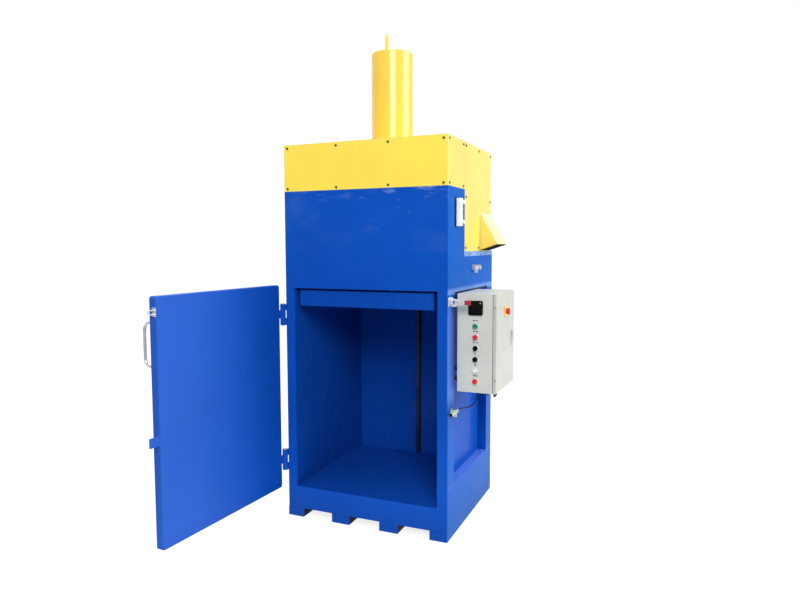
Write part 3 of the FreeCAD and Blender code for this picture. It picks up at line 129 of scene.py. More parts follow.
class Signal:
    """One shader value. Arithmetic on it adds Math nodes."""

    def __init__(self, tree, socket):
        self.tree = tree
        self.socket = socket

    def _math(self, operation, *others, swap=False):
        node = self.tree.nodes.new("ShaderNodeMath")
        node.operation = operation
        values = [self, *others]
        if swap:
            values.reverse()
        for entry, value in zip(node.inputs, values):
            if isinstance(value, Signal):
                self.tree.links.new(value.socket, entry)
            else:
                entry.default_value = value
        return Signal(self.tree, node.outputs[0])

    def __add__(self, other):
        return self._math("ADD", other)

    def __radd__(self, other):
        return self._math("ADD", other, swap=True)

    def __sub__(self, other):
        return self._math("SUBTRACT", other)

    def __rsub__(self, other):
        return self._math("SUBTRACT", other, swap=True)

    def __mul__(self, other):
        return self._math("MULTIPLY", other)

    def __gt__(self, other):
        return self._math("GREATER_THAN", other)

    def __lt__(self, other):
        return self._math("LESS_THAN", other)

    def __abs__(self):
        return self._math("ABSOLUTE")

    def most(self, other):
        return self._math("MAXIMUM", other)

    def least(self, other):
        return self._math("MINIMUM", other)


class Patterns:
    """Nodes of one tree, and the place or direction that they read."""

    def __init__(self, tree, source):
        self.tree = tree
        self.place = self.add("TexCoord", {}, {}, source)
        self.x = self.add("SeparateXYZ", {}, {0: self.place}, "X")
        self.y = self.add("SeparateXYZ", {}, {0: self.place}, "Y")
        self.z = self.add("SeparateXYZ", {}, {0: self.place}, "Z")

    def add(self, kind, settings, inputs, out=0):
        """One node: its settings first, then its inputs as values or signals."""
        node = self.tree.nodes.new("ShaderNode" + kind)
        for key, value in settings.items():
            setattr(node, key, value)
        for key, value in inputs.items():
            entry = node.inputs[key]
            if isinstance(value, Signal):
                self.tree.links.new(value.socket, entry)
            else:
                entry.default_value = value
        return Signal(self.tree, node.outputs[out])

    def noise(self, scale, detail=3.0, stretch=(1, 1, 1), shift=0.0):
        """Noise from 0 to 1 on the object's own coordinates."""
        spot = self.add("Mapping", {}, {"Vector": self.place, "Scale": stretch, "Location": (shift,) * 3})
        settings = {"Vector": spot, "Scale": scale, "Detail": detail, "Roughness": NOISE_ROUGHNESS}
        return self.add("TexNoise", {}, settings)

    def ramp(self, value, low, high, start=0.0, end=1.0):
        """A smooth step of a value."""
        return self.add("MapRange", {"interpolation_type": "SMOOTHSTEP"},
                        {"Value": value, "From Min": low, "From Max": high, "To Min": start, "To Max": end})

    def blend(self, factor, under, over):
        """Two colours mixed by a signal."""
        return self.add("Mix", {"data_type": "RGBA"}, {0: factor, 6: as_colour(under), 7: as_colour(over)}, 2)


class Finish(Patterns):
    """A material on a Principled shader, with the patterns that the finishes share."""

    def __init__(self, name):
        self.material = bpy.data.materials.new(name)
        self.material.use_nodes = True
        super().__init__(self.material.node_tree, "Object")
        self.shader = self.tree.nodes["Principled BSDF"]

    def rounded(self, radius):
        """The normal with its edges softened."""
        return self.add("Bevel", {"samples": 4}, {"Radius": radius})

    def edges(self, radius, low=0.02, high=0.16):
        """1 along sharp edges and 0 on the flats."""
        soft = self.rounded(radius)
        true = self.add("NewGeometry", {}, {}, "True Normal")
        match = self.add("VectorMath", {"operation": "DOT_PRODUCT"}, {0: soft, 1: true}, "Value")
        return self.ramp(1 - match, low, high)

    def bump(self, height, distance, strength=1.0, radius=0.0):
        """Relief on top of softened edges, sent to the shader."""
        inputs = {"Height": height, "Distance": distance, "Strength": strength}
        if radius:
            inputs["Normal"] = self.rounded(radius)
        self.feed("Normal", self.add("Bump", {}, inputs))

    def feed(self, name, value):
        """Sets or links one of the shader's sockets."""
        entry = self.shader.inputs[name]
        if isinstance(value, Signal):
            self.tree.links.new(value.socket, entry)
        else:
            entry.default_value = as_colour(value) if name in ("Base Color", "Emission Color") else value

    def done(self, **sockets):
        """Sets the remaining sockets."""
        for name, value in sockets.items():
            self.feed(name.replace("_", " ").title().replace("Ior", "IOR"), value)


def as_colour(value):
    """Three numbers become a colour with full alpha; signals pass through."""
    if isinstance(value, Signal):
        return value
    return (*tuple(value)[:3], 1.0)


def shade(colour, factor):
    """A lighter or darker colour."""
    return tuple(min(1.0, channel * factor) for channel in tuple(colour)[:3])


# ---------------------------------------------------------------- settings
def colour_setting(name, description, default):
    """A colour in the panel."""
    return FloatVectorProperty(name=name, description=description, subtype="COLOR", size=3, default=default)


def length_setting(name, description, default, low, high):
    """A length in the panel."""
    return FloatProperty(name=name, description=description, default=default, min=low, max=high,
                         unit="LENGTH")


class PressFinish(bpy.types.PropertyGroup):
    """Colours and wear of the press."""

    blue: colour_setting("Body blue", "Enamel of the body", (0.0050, 0.077, 0.455))
    yellow: colour_setting("Cover yellow", "Enamel of the covers", (0.98, 0.74, 0.095))
    grey: colour_setting("Box grey", "Powder coat of the control box", (0.600, 0.620, 0.560))
    steel: colour_setting("Bare steel", "Worn and plated steel", (0.52, 0.53, 0.55))
    red: colour_setting("Red plastic", "Stop caps and isolator", (0.72, 0.012, 0.022))
    green: colour_setting("Green plastic", "Start cap", (0.008, 0.24, 0.12))
    dirt: colour_setting("Workshop dust", "Dust and grime near the floor", (0.10, 0.09, 0.075))
    wear: FloatProperty(name="Wear", description="How much paint is rubbed off", default=0.5, min=0.0,
                        max=1.0, subtype="FACTOR")


class PressTrim(bpy.types.PropertyGroup):
    """Sizes of the small trim."""

    bead: length_setting("Weld bead", "Width of a weld bead", 0.007, 0.002, 0.02)
    legend: length_setting("Legend plate", "Height of a bare legend plate", 0.012, 0.004, 0.02)
    seal: length_setting("Seal", "Thickness of the rubber seals", 0.0024, 0.001, 0.006)


class PressStage(bpy.types.PropertyGroup):
    """Camera and light."""

    lens: FloatProperty(name="Lens", description="Focal length in millimetres", default=29.95, min=10,
                        max=200)
    place: FloatVectorProperty(name="Camera place", description="Where the camera stands", size=3,
                               default=(1.3751, -3.2641, 1.3894), subtype="TRANSLATION", unit="LENGTH")
    turn: FloatProperty(name="Turn", description="Camera's turn about the vertical",
                        default=math.radians(23.77), subtype="ANGLE")
    dip: FloatProperty(name="Dip", description="Camera's downward tilt", default=math.radians(4.48),
                       subtype="ANGLE")
    roll: FloatProperty(name="Roll", description="Camera's roll", default=math.radians(-0.24),
                        subtype="ANGLE")
    key: FloatProperty(name="Key light", description="Power of the key light", default=150.0, min=0)


# ---------------------------------------------------------------- paints and metals
def enamel(name, colour, wear_and_painted_light=1.0, coat=0.05, index=1.06):
    """Glossy sprayed enamel: orange peel, a wavy sheet, scuffs, chipped edges and dust low down, with painted
    highlights, painted light on the right side, and painted shade in the chamber, near the floor, in the fork
    tunnels and over the side recess.
    """
    finish = bpy.context.scene.press_finish
    f = Finish(name)
    clouds = f.noise(2.3, 3)
    patches = f.noise(6.0, 5, shift=3.1)
    fine = f.noise(210, 2)
    streaks = f.noise(9, 4, stretch=(6, 6, 0.7), shift=1.7)
    inside = in_chamber(f)
    scuffs = f.ramp(f.noise(26, 6, stretch=(1, 1, 7), shift=5.0), 0.62, 0.74)
    scratch = f.ramp(f.noise(60, 2, stretch=(0.35, 0.35, 9), shift=9.0), 0.70, 0.76)
    scratch = scratch * f.ramp(patches, 0.45, 0.65)
    trodden = f.ramp(f.z, CHAMBER_FLOOR - 0.0065, CHAMBER_FLOOR + 0.0055, 1.0, 0.0)
    floor_wear = inside * trodden * f.ramp(f.noise(11, 5, shift=6.4), 0.50, 0.70)
    rubbed = (scuffs * 0.10 + scratch * 0.30) * (inside * 0.6 + 0.16) * finish.wear * 2 * wear_and_painted_light
    rubbed = rubbed + floor_wear * 0.35
    chips = f.edges(0.0035) * f.ramp(f.noise(70, 4, shift=2.2), 0.62, 0.68) * finish.wear * wear_and_painted_light
    low = f.ramp(f.z, 0.0, 0.16, 1.0, 0.0) * f.ramp(patches, 0.30, 0.75) * 0.06
    grime = (low + inside * f.ramp(streaks, 0.48, 0.80) * 0.05) * wear_and_painted_light
    # painted shade: darker inside the chamber and towards the floor
    shadow = inside * 0.20 + f.ramp(f.z, 0.0, 0.26, 0.36, 0.0) * wear_and_painted_light
    tone = f.blend(f.ramp(clouds, 0.32, 0.68), shade(colour, 0.95), shade(colour, 1.05))
    for amount, over in (
            (f.ramp(patches, 0.40, 0.75) * 0.08, shade(colour, 1.25)),
            # painted highlight: paler along sharp edges
            (f.edges(0.006, 0.01, 0.30) * 0.20 * wear_and_painted_light, shade(colour, 1.9)),
            (rubbed.least(0.5), shade(colour, 2.0)),
            (shadow, shade(colour, 0.4)),
            # painted light: the right side's outer faces a little lighter
            (right_side(f) * wear_and_painted_light * 0.25, PAINTED_SIDE_LIGHT_BLUE),
            # painted light beside the control box, on the ledge and towards the door's free edge
            (painted_light_marks(f) * wear_and_painted_light, PAINTED_LIGHT_BLUE),
            # painted reflections and highlights on the front sheet and the right side
            (painted_reflections(f) * wear_and_painted_light, PAINTED_HIGHLIGHT_BLUE),
            # painted shade: near black in the fork tunnels and a painted shadow gap over the side recess
            (painted_shade_hollows(f) * 0.93, PAINTED_SHADE_BLACK),
            (grime.least(0.6), finish.dirt),
            (chips.least(0.85), PRIMER)):
        tone = f.blend(amount, tone, over)
    gloss = 0.20 + f.ramp(patches, 0.35, 0.70) * 0.08 + f.ramp(streaks, 0.45, 0.8) * 0.05
    gloss = gloss + rubbed * 0.3 + grime * 0.45 + chips * 0.3
    f.feed("Base Color", tone)
    f.feed("Roughness", gloss.least(0.85))
    f.feed("Coat Weight", (coat - grime * 0.3 - chips * 0.3).most(0.0))
    f.bump(fine * 0.10 + clouds * 1.6 + f.noise(28, 3) * 0.35 - chips * 0.6, 0.0016, 0.55, radius=0.0022)
    f.done(coat_roughness=0.12, ior=index)


def in_chamber(f):
    """1 on the inner faces of the pressing chamber."""
    return (abs(f.x) < CHAMBER_SIDE) * (f.z > CHAMBER_FLOOR) * (f.z < CHAMBER_CEILING) * (f.y > CHAMBER_FRONT)


def right_side(f):
    """1 on the outer faces of the body's right side."""
    return f.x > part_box("front_frame")[1].x - SKIN


def painted_shade_hollows(f):
    """Painted shade: 1 in the fork tunnels and along the open edge over the side recess, where a dark shadow
    gap is painted.
    """
    feet_low, feet_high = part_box("skid_runners")
    side_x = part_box("front_frame")[1].x
    edge_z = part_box("crosshead")[0].z
    recess_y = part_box("columns")[0].y + RECESS_FROM_FRONT
    rim = 2 * SKIN
    # painted shade inside the fork tunnels
    tunnels = (f.z < feet_high.z + 0.003) * (abs(f.x) < feet_high.x - rim)
    tunnels = tunnels * (f.y > feet_low.y + rim) * (f.y < feet_high.y - rim)
    # painted shadow gap along the crosshead's lower edge over the side recess
    slot = (f.z > edge_z - SKIN) * f.ramp(f.z, edge_z + 0.007, edge_z + 0.011, 1.0, 0.0)
    slot = slot * (f.x > side_x - rim) * (f.y > recess_y) * (f.y < -recess_y)
    return (tunnels + slot).least(1.0)


def painted_reflections(f):
    """Painted reflections and highlights: wavy and dented streaks on the front sheet, a band along the seam
    under the right cover, and the lower lip of the right side.
    """
    return (front_painted_reflections(f) + side_painted_highlights(f)).least(0.85)


def front_painted_reflections(f):
    """Painted reflections on the front sheet: wavy streaks under the covers, thin dented streaks and a soft
    painted sheen.
    """
    cover_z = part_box("cover_front")[0].z
    deck_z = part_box("crosshead")[1].z
    # painted reflection: pale wavy streaks just under the covers
    wave_reflections = f.ramp(f.noise(17, 3, stretch=(0.55, 0.5, 2.0), shift=7.3), 0.50, 0.66)
    wave_reflections = wave_reflections * f.ramp(f.z, cover_z - 0.075, cover_z - 0.010) * f.ramp(f.x, -0.05, 0.35, 0.25, 1.0)
    # painted reflection: thin pale streaks of a dented sheet
    dent_reflections = f.ramp(abs(f.noise(6, 3, stretch=(0.8, 1, 1.5), shift=4.4) - 0.56), 0.0, 0.022, 1.0, 0.0)
    dent_reflections = dent_reflections * f.ramp(f.z, deck_z - 0.05, cover_z) * f.ramp(f.x, -0.15, 0.25, 0.35, 1.0)
    dent_reflections = dent_reflections * f.ramp(f.noise(9, 2, shift=8.6), 0.52, 0.62)
    # painted sheen above the crosshead's top
    sheen = f.ramp(f.noise(3.2, 3, stretch=(0.8, 1, 1.3), shift=2.6), 0.50, 0.72) * (f.z > deck_z)
    sheet = (f.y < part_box("front_frame")[0].y + 0.012) * (f.z < cover_z)
    return (wave_reflections * 0.46 + dent_reflections * 0.15 + sheen * 0.05) * sheet


def side_painted_highlights(f):
    """Painted highlights on the right side: a pale band along the seam under the right cover, and the pale
    lower lip of the crosshead.
    """
    lip_z, deck_z = (corner.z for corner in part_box("crosshead"))
    patchy = f.ramp(f.noise(30, 3, shift=1.1), 0.35, 0.60)
    # painted highlight: a pale mottled band just under the right cover
    seam = (f.z > deck_z - 0.024) * (f.z < deck_z) * (f.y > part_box("cover_right")[0].y - 0.004)
    # painted highlight: a pale band along the crosshead's lower lip
    lip = (f.z > lip_z) * f.ramp(f.z, lip_z + 0.016, lip_z + 0.036, 1.0, 0.0)
    return (seam * (0.30 + patchy * 0.55) + lip * 0.42) * right_side(f)


def painted_light_marks(f):
    """Painted light, where the blue is paler: beside the control box, on the ledge, and towards the door's
    free edge.
    """
    side_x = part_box("front_frame")[1].x
    door_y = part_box("front_frame")[0].y
    box_low, box_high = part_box("box_shell")
    # painted light on the right side beside the control box
    box_side_light = f.ramp(f.z, box_low.z - 0.10, box_low.z + 0.02)
    box_side_light = box_side_light * f.ramp(f.z, box_high.z - 0.05, box_high.z, 1.0, 0.0) * (f.y < box_low.y + 0.02)
    # painted light on the upward face of the ledge
    ledge = (abs(f.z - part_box("base_frame")[1].z) < 0.0015) * (f.x > side_x - 0.08) * (f.y > door_y + 0.010)
    # painted light, growing towards the door's free edge
    door = f.ramp(f.y, door_y - 0.75, door_y - 0.10, 0.13, 0.0)
    return box_side_light * right_side(f) * 0.52 + ledge * 0.44 + door


def powder_coat(name, colour):
    """Fine textured satin coat."""
    f = Finish(name)
    grain = f.noise(900, 2)
    patches = f.noise(7, 4)
    smudge = f.ramp(f.noise(14, 5, shift=4.0), 0.50, 0.78)
    tone = f.blend(f.ramp(patches, 0.3, 0.7), shade(colour, 0.96), shade(colour, 1.03))
    tone = f.blend(smudge * 0.10, tone, SMUDGE)
    # painted highlight: paler along sharp edges
    tone = f.blend(f.edges(0.003, 0.02, 0.3) * 0.25, tone, shade(colour, 1.25))
    f.feed("Base Color", tone)
    f.feed("Roughness", 0.36 + smudge * 0.14 + patches * 0.06)
    f.bump(grain + patches * 0.5, 0.00035, 0.5, radius=0.0014)
    f.done(ior=1.25)


def plated(name, colour, rough, tarnish, metal=1.0):
    """Zinc or chrome plate with faint handling marks."""
    f = Finish(name)
    patches = f.noise(40, 4)
    lines = f.noise(300, 2, stretch=(1, 1, 0.08))
    stain = f.ramp(f.noise(22, 5, shift=6.0), 0.52, 0.75) * tarnish
    tone = f.blend(f.ramp(patches, 0.35, 0.70), shade(colour, 0.88), shade(colour, 1.08))
    tone = f.blend(stain, tone, TARNISH)
    f.feed("Base Color", tone)
    f.feed("Roughness", rough + patches * 0.12 + lines * 0.06 + stain * 0.3)
    f.feed("Metallic", metal)
    f.bump(lines * 0.3 + patches * 0.4, 0.0003, 0.4, radius=0.0007)
    f.done()


def bare_steel(name, colour, rust):
    """Oily mill steel with rust freckles and rubbed bright edges."""
    f = Finish(name)
    patches = f.noise(9, 5)
    freckles = f.ramp(f.noise(120, 4, shift=2.0), 0.60, 0.72) * rust
    run = f.noise(30, 4, stretch=(3, 3, 0.25))
    bright = f.edges(0.003)
    tone = f.blend(f.ramp(patches, 0.3, 0.7), shade(colour, 0.45), shade(colour, 0.85))
    tone = f.blend(freckles, tone, RUST)
    tone = f.blend(bright * 0.6, tone, shade(colour, 1.3))
    f.feed("Base Color", tone)
    f.feed("Roughness", 0.34 + run * 0.22 + freckles * 0.4)
    f.feed("Metallic", (0.95 - freckles * 0.7).most(0.1))
    f.bump(run * 0.5 + freckles * 0.6, 0.0006, 0.5, radius=0.001)
    f.done()


def moulded(name, colour, rough, coat, index=1.45):
    """Moulded plastic with a faint grain and painted highlights on its edges."""
    f = Finish(name)
    grain = f.noise(1500, 1)
    patches = f.noise(45, 3)
    tone = f.blend(f.ramp(patches, 0.35, 0.7), shade(colour, 0.92), shade(colour, 1.07))
    # painted highlight: paler along sharp edges
    tone = f.blend(f.edges(0.0012, 0.02, 0.3) * 0.22, tone, shade(colour, 1.6))
    f.feed("Base Color", tone)
    f.feed("Roughness", rough + patches * 0.10)
    f.bump(grain + patches * 0.3, 0.00012, 0.4, radius=0.0006)
    f.done(coat_weight=coat, coat_roughness=0.12, ior=index)


def rubber(name, colour, index=1.30):
    """Matt black sheath with dust."""
    f = Finish(name)
    dust = f.ramp(f.noise(60, 4), 0.45, 0.8)
    grain = f.noise(800, 2)
    f.feed("Base Color", f.blend(dust * 0.35, colour, shade(colour, 3.2)))
    f.feed("Roughness", 0.52 + dust * 0.2)
    f.bump(grain, 0.0002, 0.4)
    f.done(ior=index)


def sight_glass(name):
    """Clear window with oil behind it up to a level."""
    f = Finish(name)
    gauge_low, gauge_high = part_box("gauge_window")
    level = gauge_low.z + (gauge_high.z - gauge_low.z) * OIL_LEVEL
    oil = f.ramp(f.z, level - 0.0008, level + 0.0008, 1.0, 0.0)
    tone = f.blend(oil, CLEAR_GLASS, OIL)
    f.feed("Base Color", tone)
    f.feed("Roughness", 0.06 + f.noise(60, 3) * 0.08)
    f.done(coat_weight=0.8, coat_roughness=0.03)


def motor_paint(name, colour):
    """Cast housing under satin paint."""
    f = Finish(name)
    grain = f.noise(260, 3)
    patches = f.noise(12, 4)
    tone = f.blend(f.ramp(patches, 0.3, 0.7), shade(colour, 0.85), shade(colour, 1.1))
    # painted highlight: paler along sharp edges
    tone = f.blend(f.edges(0.002) * 0.4, tone, shade(colour, 1.8))
    f.feed("Base Color", tone)
    f.feed("Roughness", 0.42 + patches * 0.12)
    f.bump(grain, 0.0005, 0.5, radius=0.001)
    f.done()


FINISH_NODES = {
    "body enamel": ("base_frame", "skid_runners", "front_frame", "columns", "side_panels", "back_panel",
                    "crosshead", "oil_tank", "platen", "door_panel", "door_knuckles", "frame_knuckles"),
    "cover enamel": ("cover_front", "cover_left", "cover_right", "cover_rear", "cover_top"),
    "hood enamel": ("vent_hood",),
    "shaded guard enamel": ("cylinder_guard", "top_breather"),
    "box coat": ("box_shell",),
    # the box door takes a darker copy of the box coat, as painted shade
    "shaded lid coat": ("box_door",),
    # box_brackets are black partly as painted shade for the dark gap behind the control box
    "frame black": ("cover_frame", "valve_block", "box_brackets"),
    "motor grey": ("motor", "cylinder_barrel"),
    "zinc plate": ("cylinder_bolts", "hinge_pins", "hydraulic_pipes"),
    "bright zinc": ("drain_lever", "latch_base", "latch_lever", "latch_loop"),
    "screw zinc": ("cover_screws",),
    "rail steel": ("guide_rail",),
    "hard chrome": ("piston_rod",),
    "bright chrome": ("door_handle", "door_catch"),
    "satin chrome": ("button_bezels",),
    "gauge white": ("level_gauge",),
    "cast alloy": ("pump_unit", "filler_breather", "drain_valve", "box_lock"),
    "nickel brass": ("door_sensor",),
    "black moulding": ("switch_plate", "switch_knob", "mode_selector", "down_button", "cable_glands"),
    "red moulding": ("isolator_knob", "stop_button", "reset_button"),
    "grip red": ("latch_grip",),
    "green moulding": ("start_button",),
    "white moulding": ("up_button",),
    "yellow moulding": ("isolator_plate",),
    "oil sight glass": ("gauge_window",),
    "cable sheath": ("box_cables",),
}


def finishes():
    """Makes every material."""
    p = bpy.context.scene.press_finish
    # the guard's yellow: partly a more orange paint, partly painted shade as a darker copy of the cover yellow
    shaded_guard_yellow = (p.yellow[0] * 0.90, p.yellow[1] * 0.81, p.yellow[2] * 0.80)
    enamel("body enamel", p.blue)
    enamel("cover enamel", p.yellow, wear_and_painted_light=0.35, coat=0.30, index=1.40)
    enamel("hood enamel", p.yellow, wear_and_painted_light=0.35, coat=1.0, index=1.80)
    enamel("shaded guard enamel", shaded_guard_yellow, wear_and_painted_light=0.35, coat=0.36, index=1.40)
    powder_coat("box coat", p.grey)
    # painted shade: the box coat made darker for the box door
    powder_coat("shaded lid coat", shade(p.grey, 0.85))
    motor_paint("frame black", (0.02, 0.02, 0.022))
    motor_paint("motor grey", (0.07, 0.10, 0.13))
    plated("zinc plate", p.steel, 0.30, 0.25)
    plated("bright zinc", (0.86, 0.87, 0.88), 0.24, 0.15, 0.45)
    plated("screw zinc", shade(p.steel, 0.16), 0.42, 0.6)
    bare_steel("rail steel", (0.075, 0.080, 0.085), 0.25)
    plated("hard chrome", (0.72, 0.73, 0.75), 0.08, 0.05)
    plated("bright chrome", (0.84, 0.85, 0.86), 0.12, 0.10, 0.55)
    plated("satin chrome", (0.93, 0.94, 0.95), 0.20, 0.05, 0.30)
    plated("cast alloy", (0.66, 0.67, 0.68), 0.34, 0.10, 0.7)
    plated("nickel brass", (0.60, 0.70, 0.60), 0.26, 0.15, 0.40)
    moulded("gauge white", (0.96, 0.97, 0.95), 0.30, 0.3)
    moulded("black moulding", (0.004, 0.004, 0.005), 0.44, 0.02, 1.20)
    moulded("red moulding", p.red, 0.24, 0.3)
    moulded("grip red", (0.40, 0.022, 0.045), 0.34, 0.2)
    moulded("green moulding", p.green, 0.24, 0.5)
    moulded("white moulding", (0.80, 0.80, 0.77), 0.25, 0.5)
    moulded("yellow moulding", (0.86, 0.55, 0.02), 0.26, 0.4)
    sight_glass("oil sight glass")
    moulded("legend white", (0.72, 0.73, 0.72), 0.32, 0.2)
    moulded("lens white", (0.85, 0.86, 0.88), 0.12, 0.8)
    rubber("cable sheath", (0.012, 0.012, 0.013))
    # near black sheet for the hood's mouth: painted shade
    rubber("hood shade mat", (0.003, 0.003, 0.003), 1.03)


def put_on(obj, name):
    """Gives an object one of the finishes."""
    obj.data.materials.clear()
    obj.data.materials.append(bpy.data.materials[name])


class PRESS_OT_finishes(bpy.types.Operator):
    """Paints and plates every solid of the press"""

    bl_idname = "press.finishes"
    bl_label = "Finishes"

    def execute(self, context):
        finishes()
        for name, nodes in FINISH_NODES.items():
            for node in nodes:
                put_on(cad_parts[node], name)
        return {"FINISHED"}


# ---------------------------------------------------------------- trim
def piece(name, shape, material, body, smooth=False, soften=0.0):
    """Turns a bmesh into an object that rides on a body."""
    bmesh.ops.recalc_face_normals(shape, faces=shape.faces)
    mesh = bpy.data.meshes.new(name)
    shape.to_mesh(mesh)
    shape.free()
    if smooth:
        mesh.shade_smooth()
    obj = bpy.data.objects.new(name, mesh)
    bpy.context.scene.collection.objects.link(obj)
    if soften:
        bevel = obj.modifiers.new("soft edges", "BEVEL")
        bevel.width = soften
        bevel.segments = 2
        bevel.limit_method = "ANGLE"
    put_on(obj, material)
    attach(obj, body)


def block(shape, low, high):
    """Adds a block between two corners to a bmesh."""
    low, high = Vector(low), Vector(high)
    place = Matrix.Translation((low + high) / 2) @ Matrix.Diagonal((*(high - low), 1.0))
    return bmesh.ops.create_cube(shape, size=1.0, matrix=place)["verts"]


def turned(shape, profile, place, steps):
    """Spins a profile of (radius, height) about an axis in an empty bmesh; place maps +Z to that axis."""
    verts = [shape.verts.new((radius, 0, height)) for radius, height in profile]
    edges = [shape.edges.new(pair) for pair in zip(verts[:-1], verts[1:])]
    bmesh.ops.spin(shape, geom=verts + edges, cent=(0, 0, 0), axis=(0, 0, 1), angle=2 * math.pi, steps=steps,
                   use_merge=True)
    bmesh.ops.remove_doubles(shape, verts=shape.verts[:], dist=1e-6)
    bmesh.ops.transform(shape, matrix=place, verts=shape.verts[:])


def facing(place, axis):
    """A matrix that stands +Z along an axis at a place."""
    return Matrix.Translation(Vector(place)) @ Vector(axis).to_track_quat("Z", "Y").to_matrix().to_4x4()


def bead(shape, start, end, width):
    """Adds a rippled weld bead between two points to a bmesh."""
    start, end = Vector(start), Vector(end)
    run = end - start
    count = max(4, int(run.length / (width * BEAD_PITCH)))
    turn = run.to_track_quat("Z", "Y").to_matrix().to_4x4()
    ring = bmesh.ops.create_circle(shape, segments=8, radius=width * 0.35,
                                   matrix=Matrix.Translation(start) @ turn)["verts"]
    edges = list({e for v in ring for e in v.link_edges})
    bmesh.ops.contextual_create(shape, geom=edges)
    for k in range(1, count + 1):
        made = bmesh.ops.extrude_edge_only(shape, edges=edges)["geom"]
        ring = [g for g in made if isinstance(g, bmesh.types.BMVert)]
        edges = [g for g in made if isinstance(g, bmesh.types.BMEdge)]
        bmesh.ops.translate(shape, vec=run / count, verts=ring)
        centre = start + run * (k / count)
        size = (BEAD_CREST if k % 2 else BEAD_TROUGH) if k < count else BEAD_TIP
        for v in ring:
            spoke = v.co - centre
            v.co = centre + spoke.normalized() * width * BEAD_RADIUS * size
    bmesh.ops.contextual_create(shape, geom=edges)


class PRESS_OT_weld_beads(bpy.types.Operator):
    """Runs painted weld beads along the seams of the chamber, the skid and the hinges"""

    bl_idname = "press.weld_beads"
    bl_label = "Weld beads"

    def execute(self, context):
        width = context.scene.press_trim.bead
        chamber_beads(width)
        skid_beads(width * 0.8)
        hinge_beads(width * 0.7)
        return {"FINISHED"}


def chamber_beads(width):
    """Beads where the chamber's walls meet its floor, with a gap at the guide rail."""
    wall = -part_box("base_frame")[0].x - CHAMBER_WALL_INSET
    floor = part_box("side_panels")[0].z
    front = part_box("columns")[0].y
    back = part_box("back_panel")[0].y
    shape = bmesh.new()
    for x in (-wall, wall):
        bead(shape, (x, front + BEAD_END, floor), (x, back - BEAD_END, floor), width)
    for left, right in ((CORNER_BREAK - wall, -RAIL_BREAK), (RAIL_BREAK, wall - CORNER_BREAK)):
        bead(shape, (left, back, floor), (right, back, floor), width)
    piece("chamber_weld_beads", shape, "body enamel", "frame", smooth=True)


def skid_beads(width):
    """Beads along the front and rear ends of the four runners."""
    low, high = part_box("skid_runners")
    gap = (high.x - low.x - sum(RUNNER_WIDTHS)) / (len(RUNNER_WIDTHS) - 1)
    left = low.x
    shape = bmesh.new()
    for runner in RUNNER_WIDTHS:
        for y in (low.y + SKIN / 2, high.y - SKIN / 2):
            bead(shape, (left + BEAD_END, y, high.z), (left + runner - BEAD_END, y, high.z), width)
        left += runner + gap
    piece("skid_weld_beads", shape, "body enamel", "frame", smooth=True)


def hinge_beads(width):
    """Beads down the two outer leaves of each hinge, on the body's side."""
    low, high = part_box("frame_knuckles")
    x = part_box("front_frame")[0].x - SKIN / 4
    first, second, third = KNUCKLE_HEIGHTS
    shape = bmesh.new()
    for base in (low.z, high.z - first - second - third):
        for bottom, height in ((base, first), (base + first + second, third)):
            bead(shape, (x, high.y, bottom + SKIN), (x, high.y, bottom + height - SKIN), width)
    piece("hinge_weld_beads", shape, "body enamel", "frame", smooth=True)


def rim_of(shape, low, high, width):
    """Adds a flat rim across X, as four blocks inside a box."""
    bottom, top = low.z + width, high.z - width
    block(shape, low, (high.x, high.y, bottom))
    block(shape, (low.x, low.y, top), high)
    block(shape, (low.x, low.y, bottom), (high.x, low.y + width, top))
    block(shape, (low.x, high.y - width, bottom), (high.x, high.y, top))


class PRESS_OT_box_trim(bpy.types.Operator):
    """Adds the control box's seal, its bare legend plates, the indicator lens and the key plug"""

    bl_idname = "press.box_trim"
    bl_label = "Control box trim"

    def execute(self, context):
        trim = context.scene.press_trim
        box_seal(trim.seal)
        legends(trim.legend)
        switch_lens()
        key_plug()
        return {"FINISHED"}


def box_seal(thickness):
    """Rubber seal around the inside of the box's door."""
    low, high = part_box("box_door")
    outer_low = Vector((low.x - thickness, low.y + SEAL_INSET, low.z + SEAL_INSET))
    outer_high = Vector((low.x - CLEAR, high.y - SEAL_INSET, high.z - SEAL_INSET))
    shape = bmesh.new()
    rim_of(shape, outer_low, outer_high, SEAL_WIDTH)
    piece("box_seal", shape, "cable sheath", "box_lid")


def legends(height):
    """A bare plate over each button, with plain bars in place of words."""
    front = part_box("box_shell")[0].y
    plates = bmesh.new()
    bars = bmesh.new()
    for node, spans in LEGEND_BARS.items():
        low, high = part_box(node)
        x, bottom = (low.x + high.x) / 2, (low.z + high.z) / 2 + LEGEND_RISE
        level = bottom + height / 2
        block(plates, (x - LEGEND_HALF_WIDTH, front - LEGEND_THICKNESS, bottom),
              (x + LEGEND_HALF_WIDTH, front, bottom + height))
        for left, right in spans:
            block(bars, (x + left, front - LEGEND_THICKNESS - 2 * CLEAR, level - LEGEND_BAR_HALF),
                  (x + right, front - LEGEND_THICKNESS + CLEAR, level + LEGEND_BAR_HALF))
    piece("legend_plates", plates, "legend white", "frame", soften=0.0003)
    piece("legend_marks", bars, "black moulding", "frame")


def switch_lens():
    """Small indicator lens in the rotary switch's plate."""
    low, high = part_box("switch_plate")
    place = facing((high.x - LENS_INSET, low.y, high.z - LENS_INSET), (0, -1, 0))
    shape = bmesh.new()
    turned(shape, LENS_PROFILE, place, 20)
    piece("switch_lens", shape, "lens white", "frame", smooth=True)


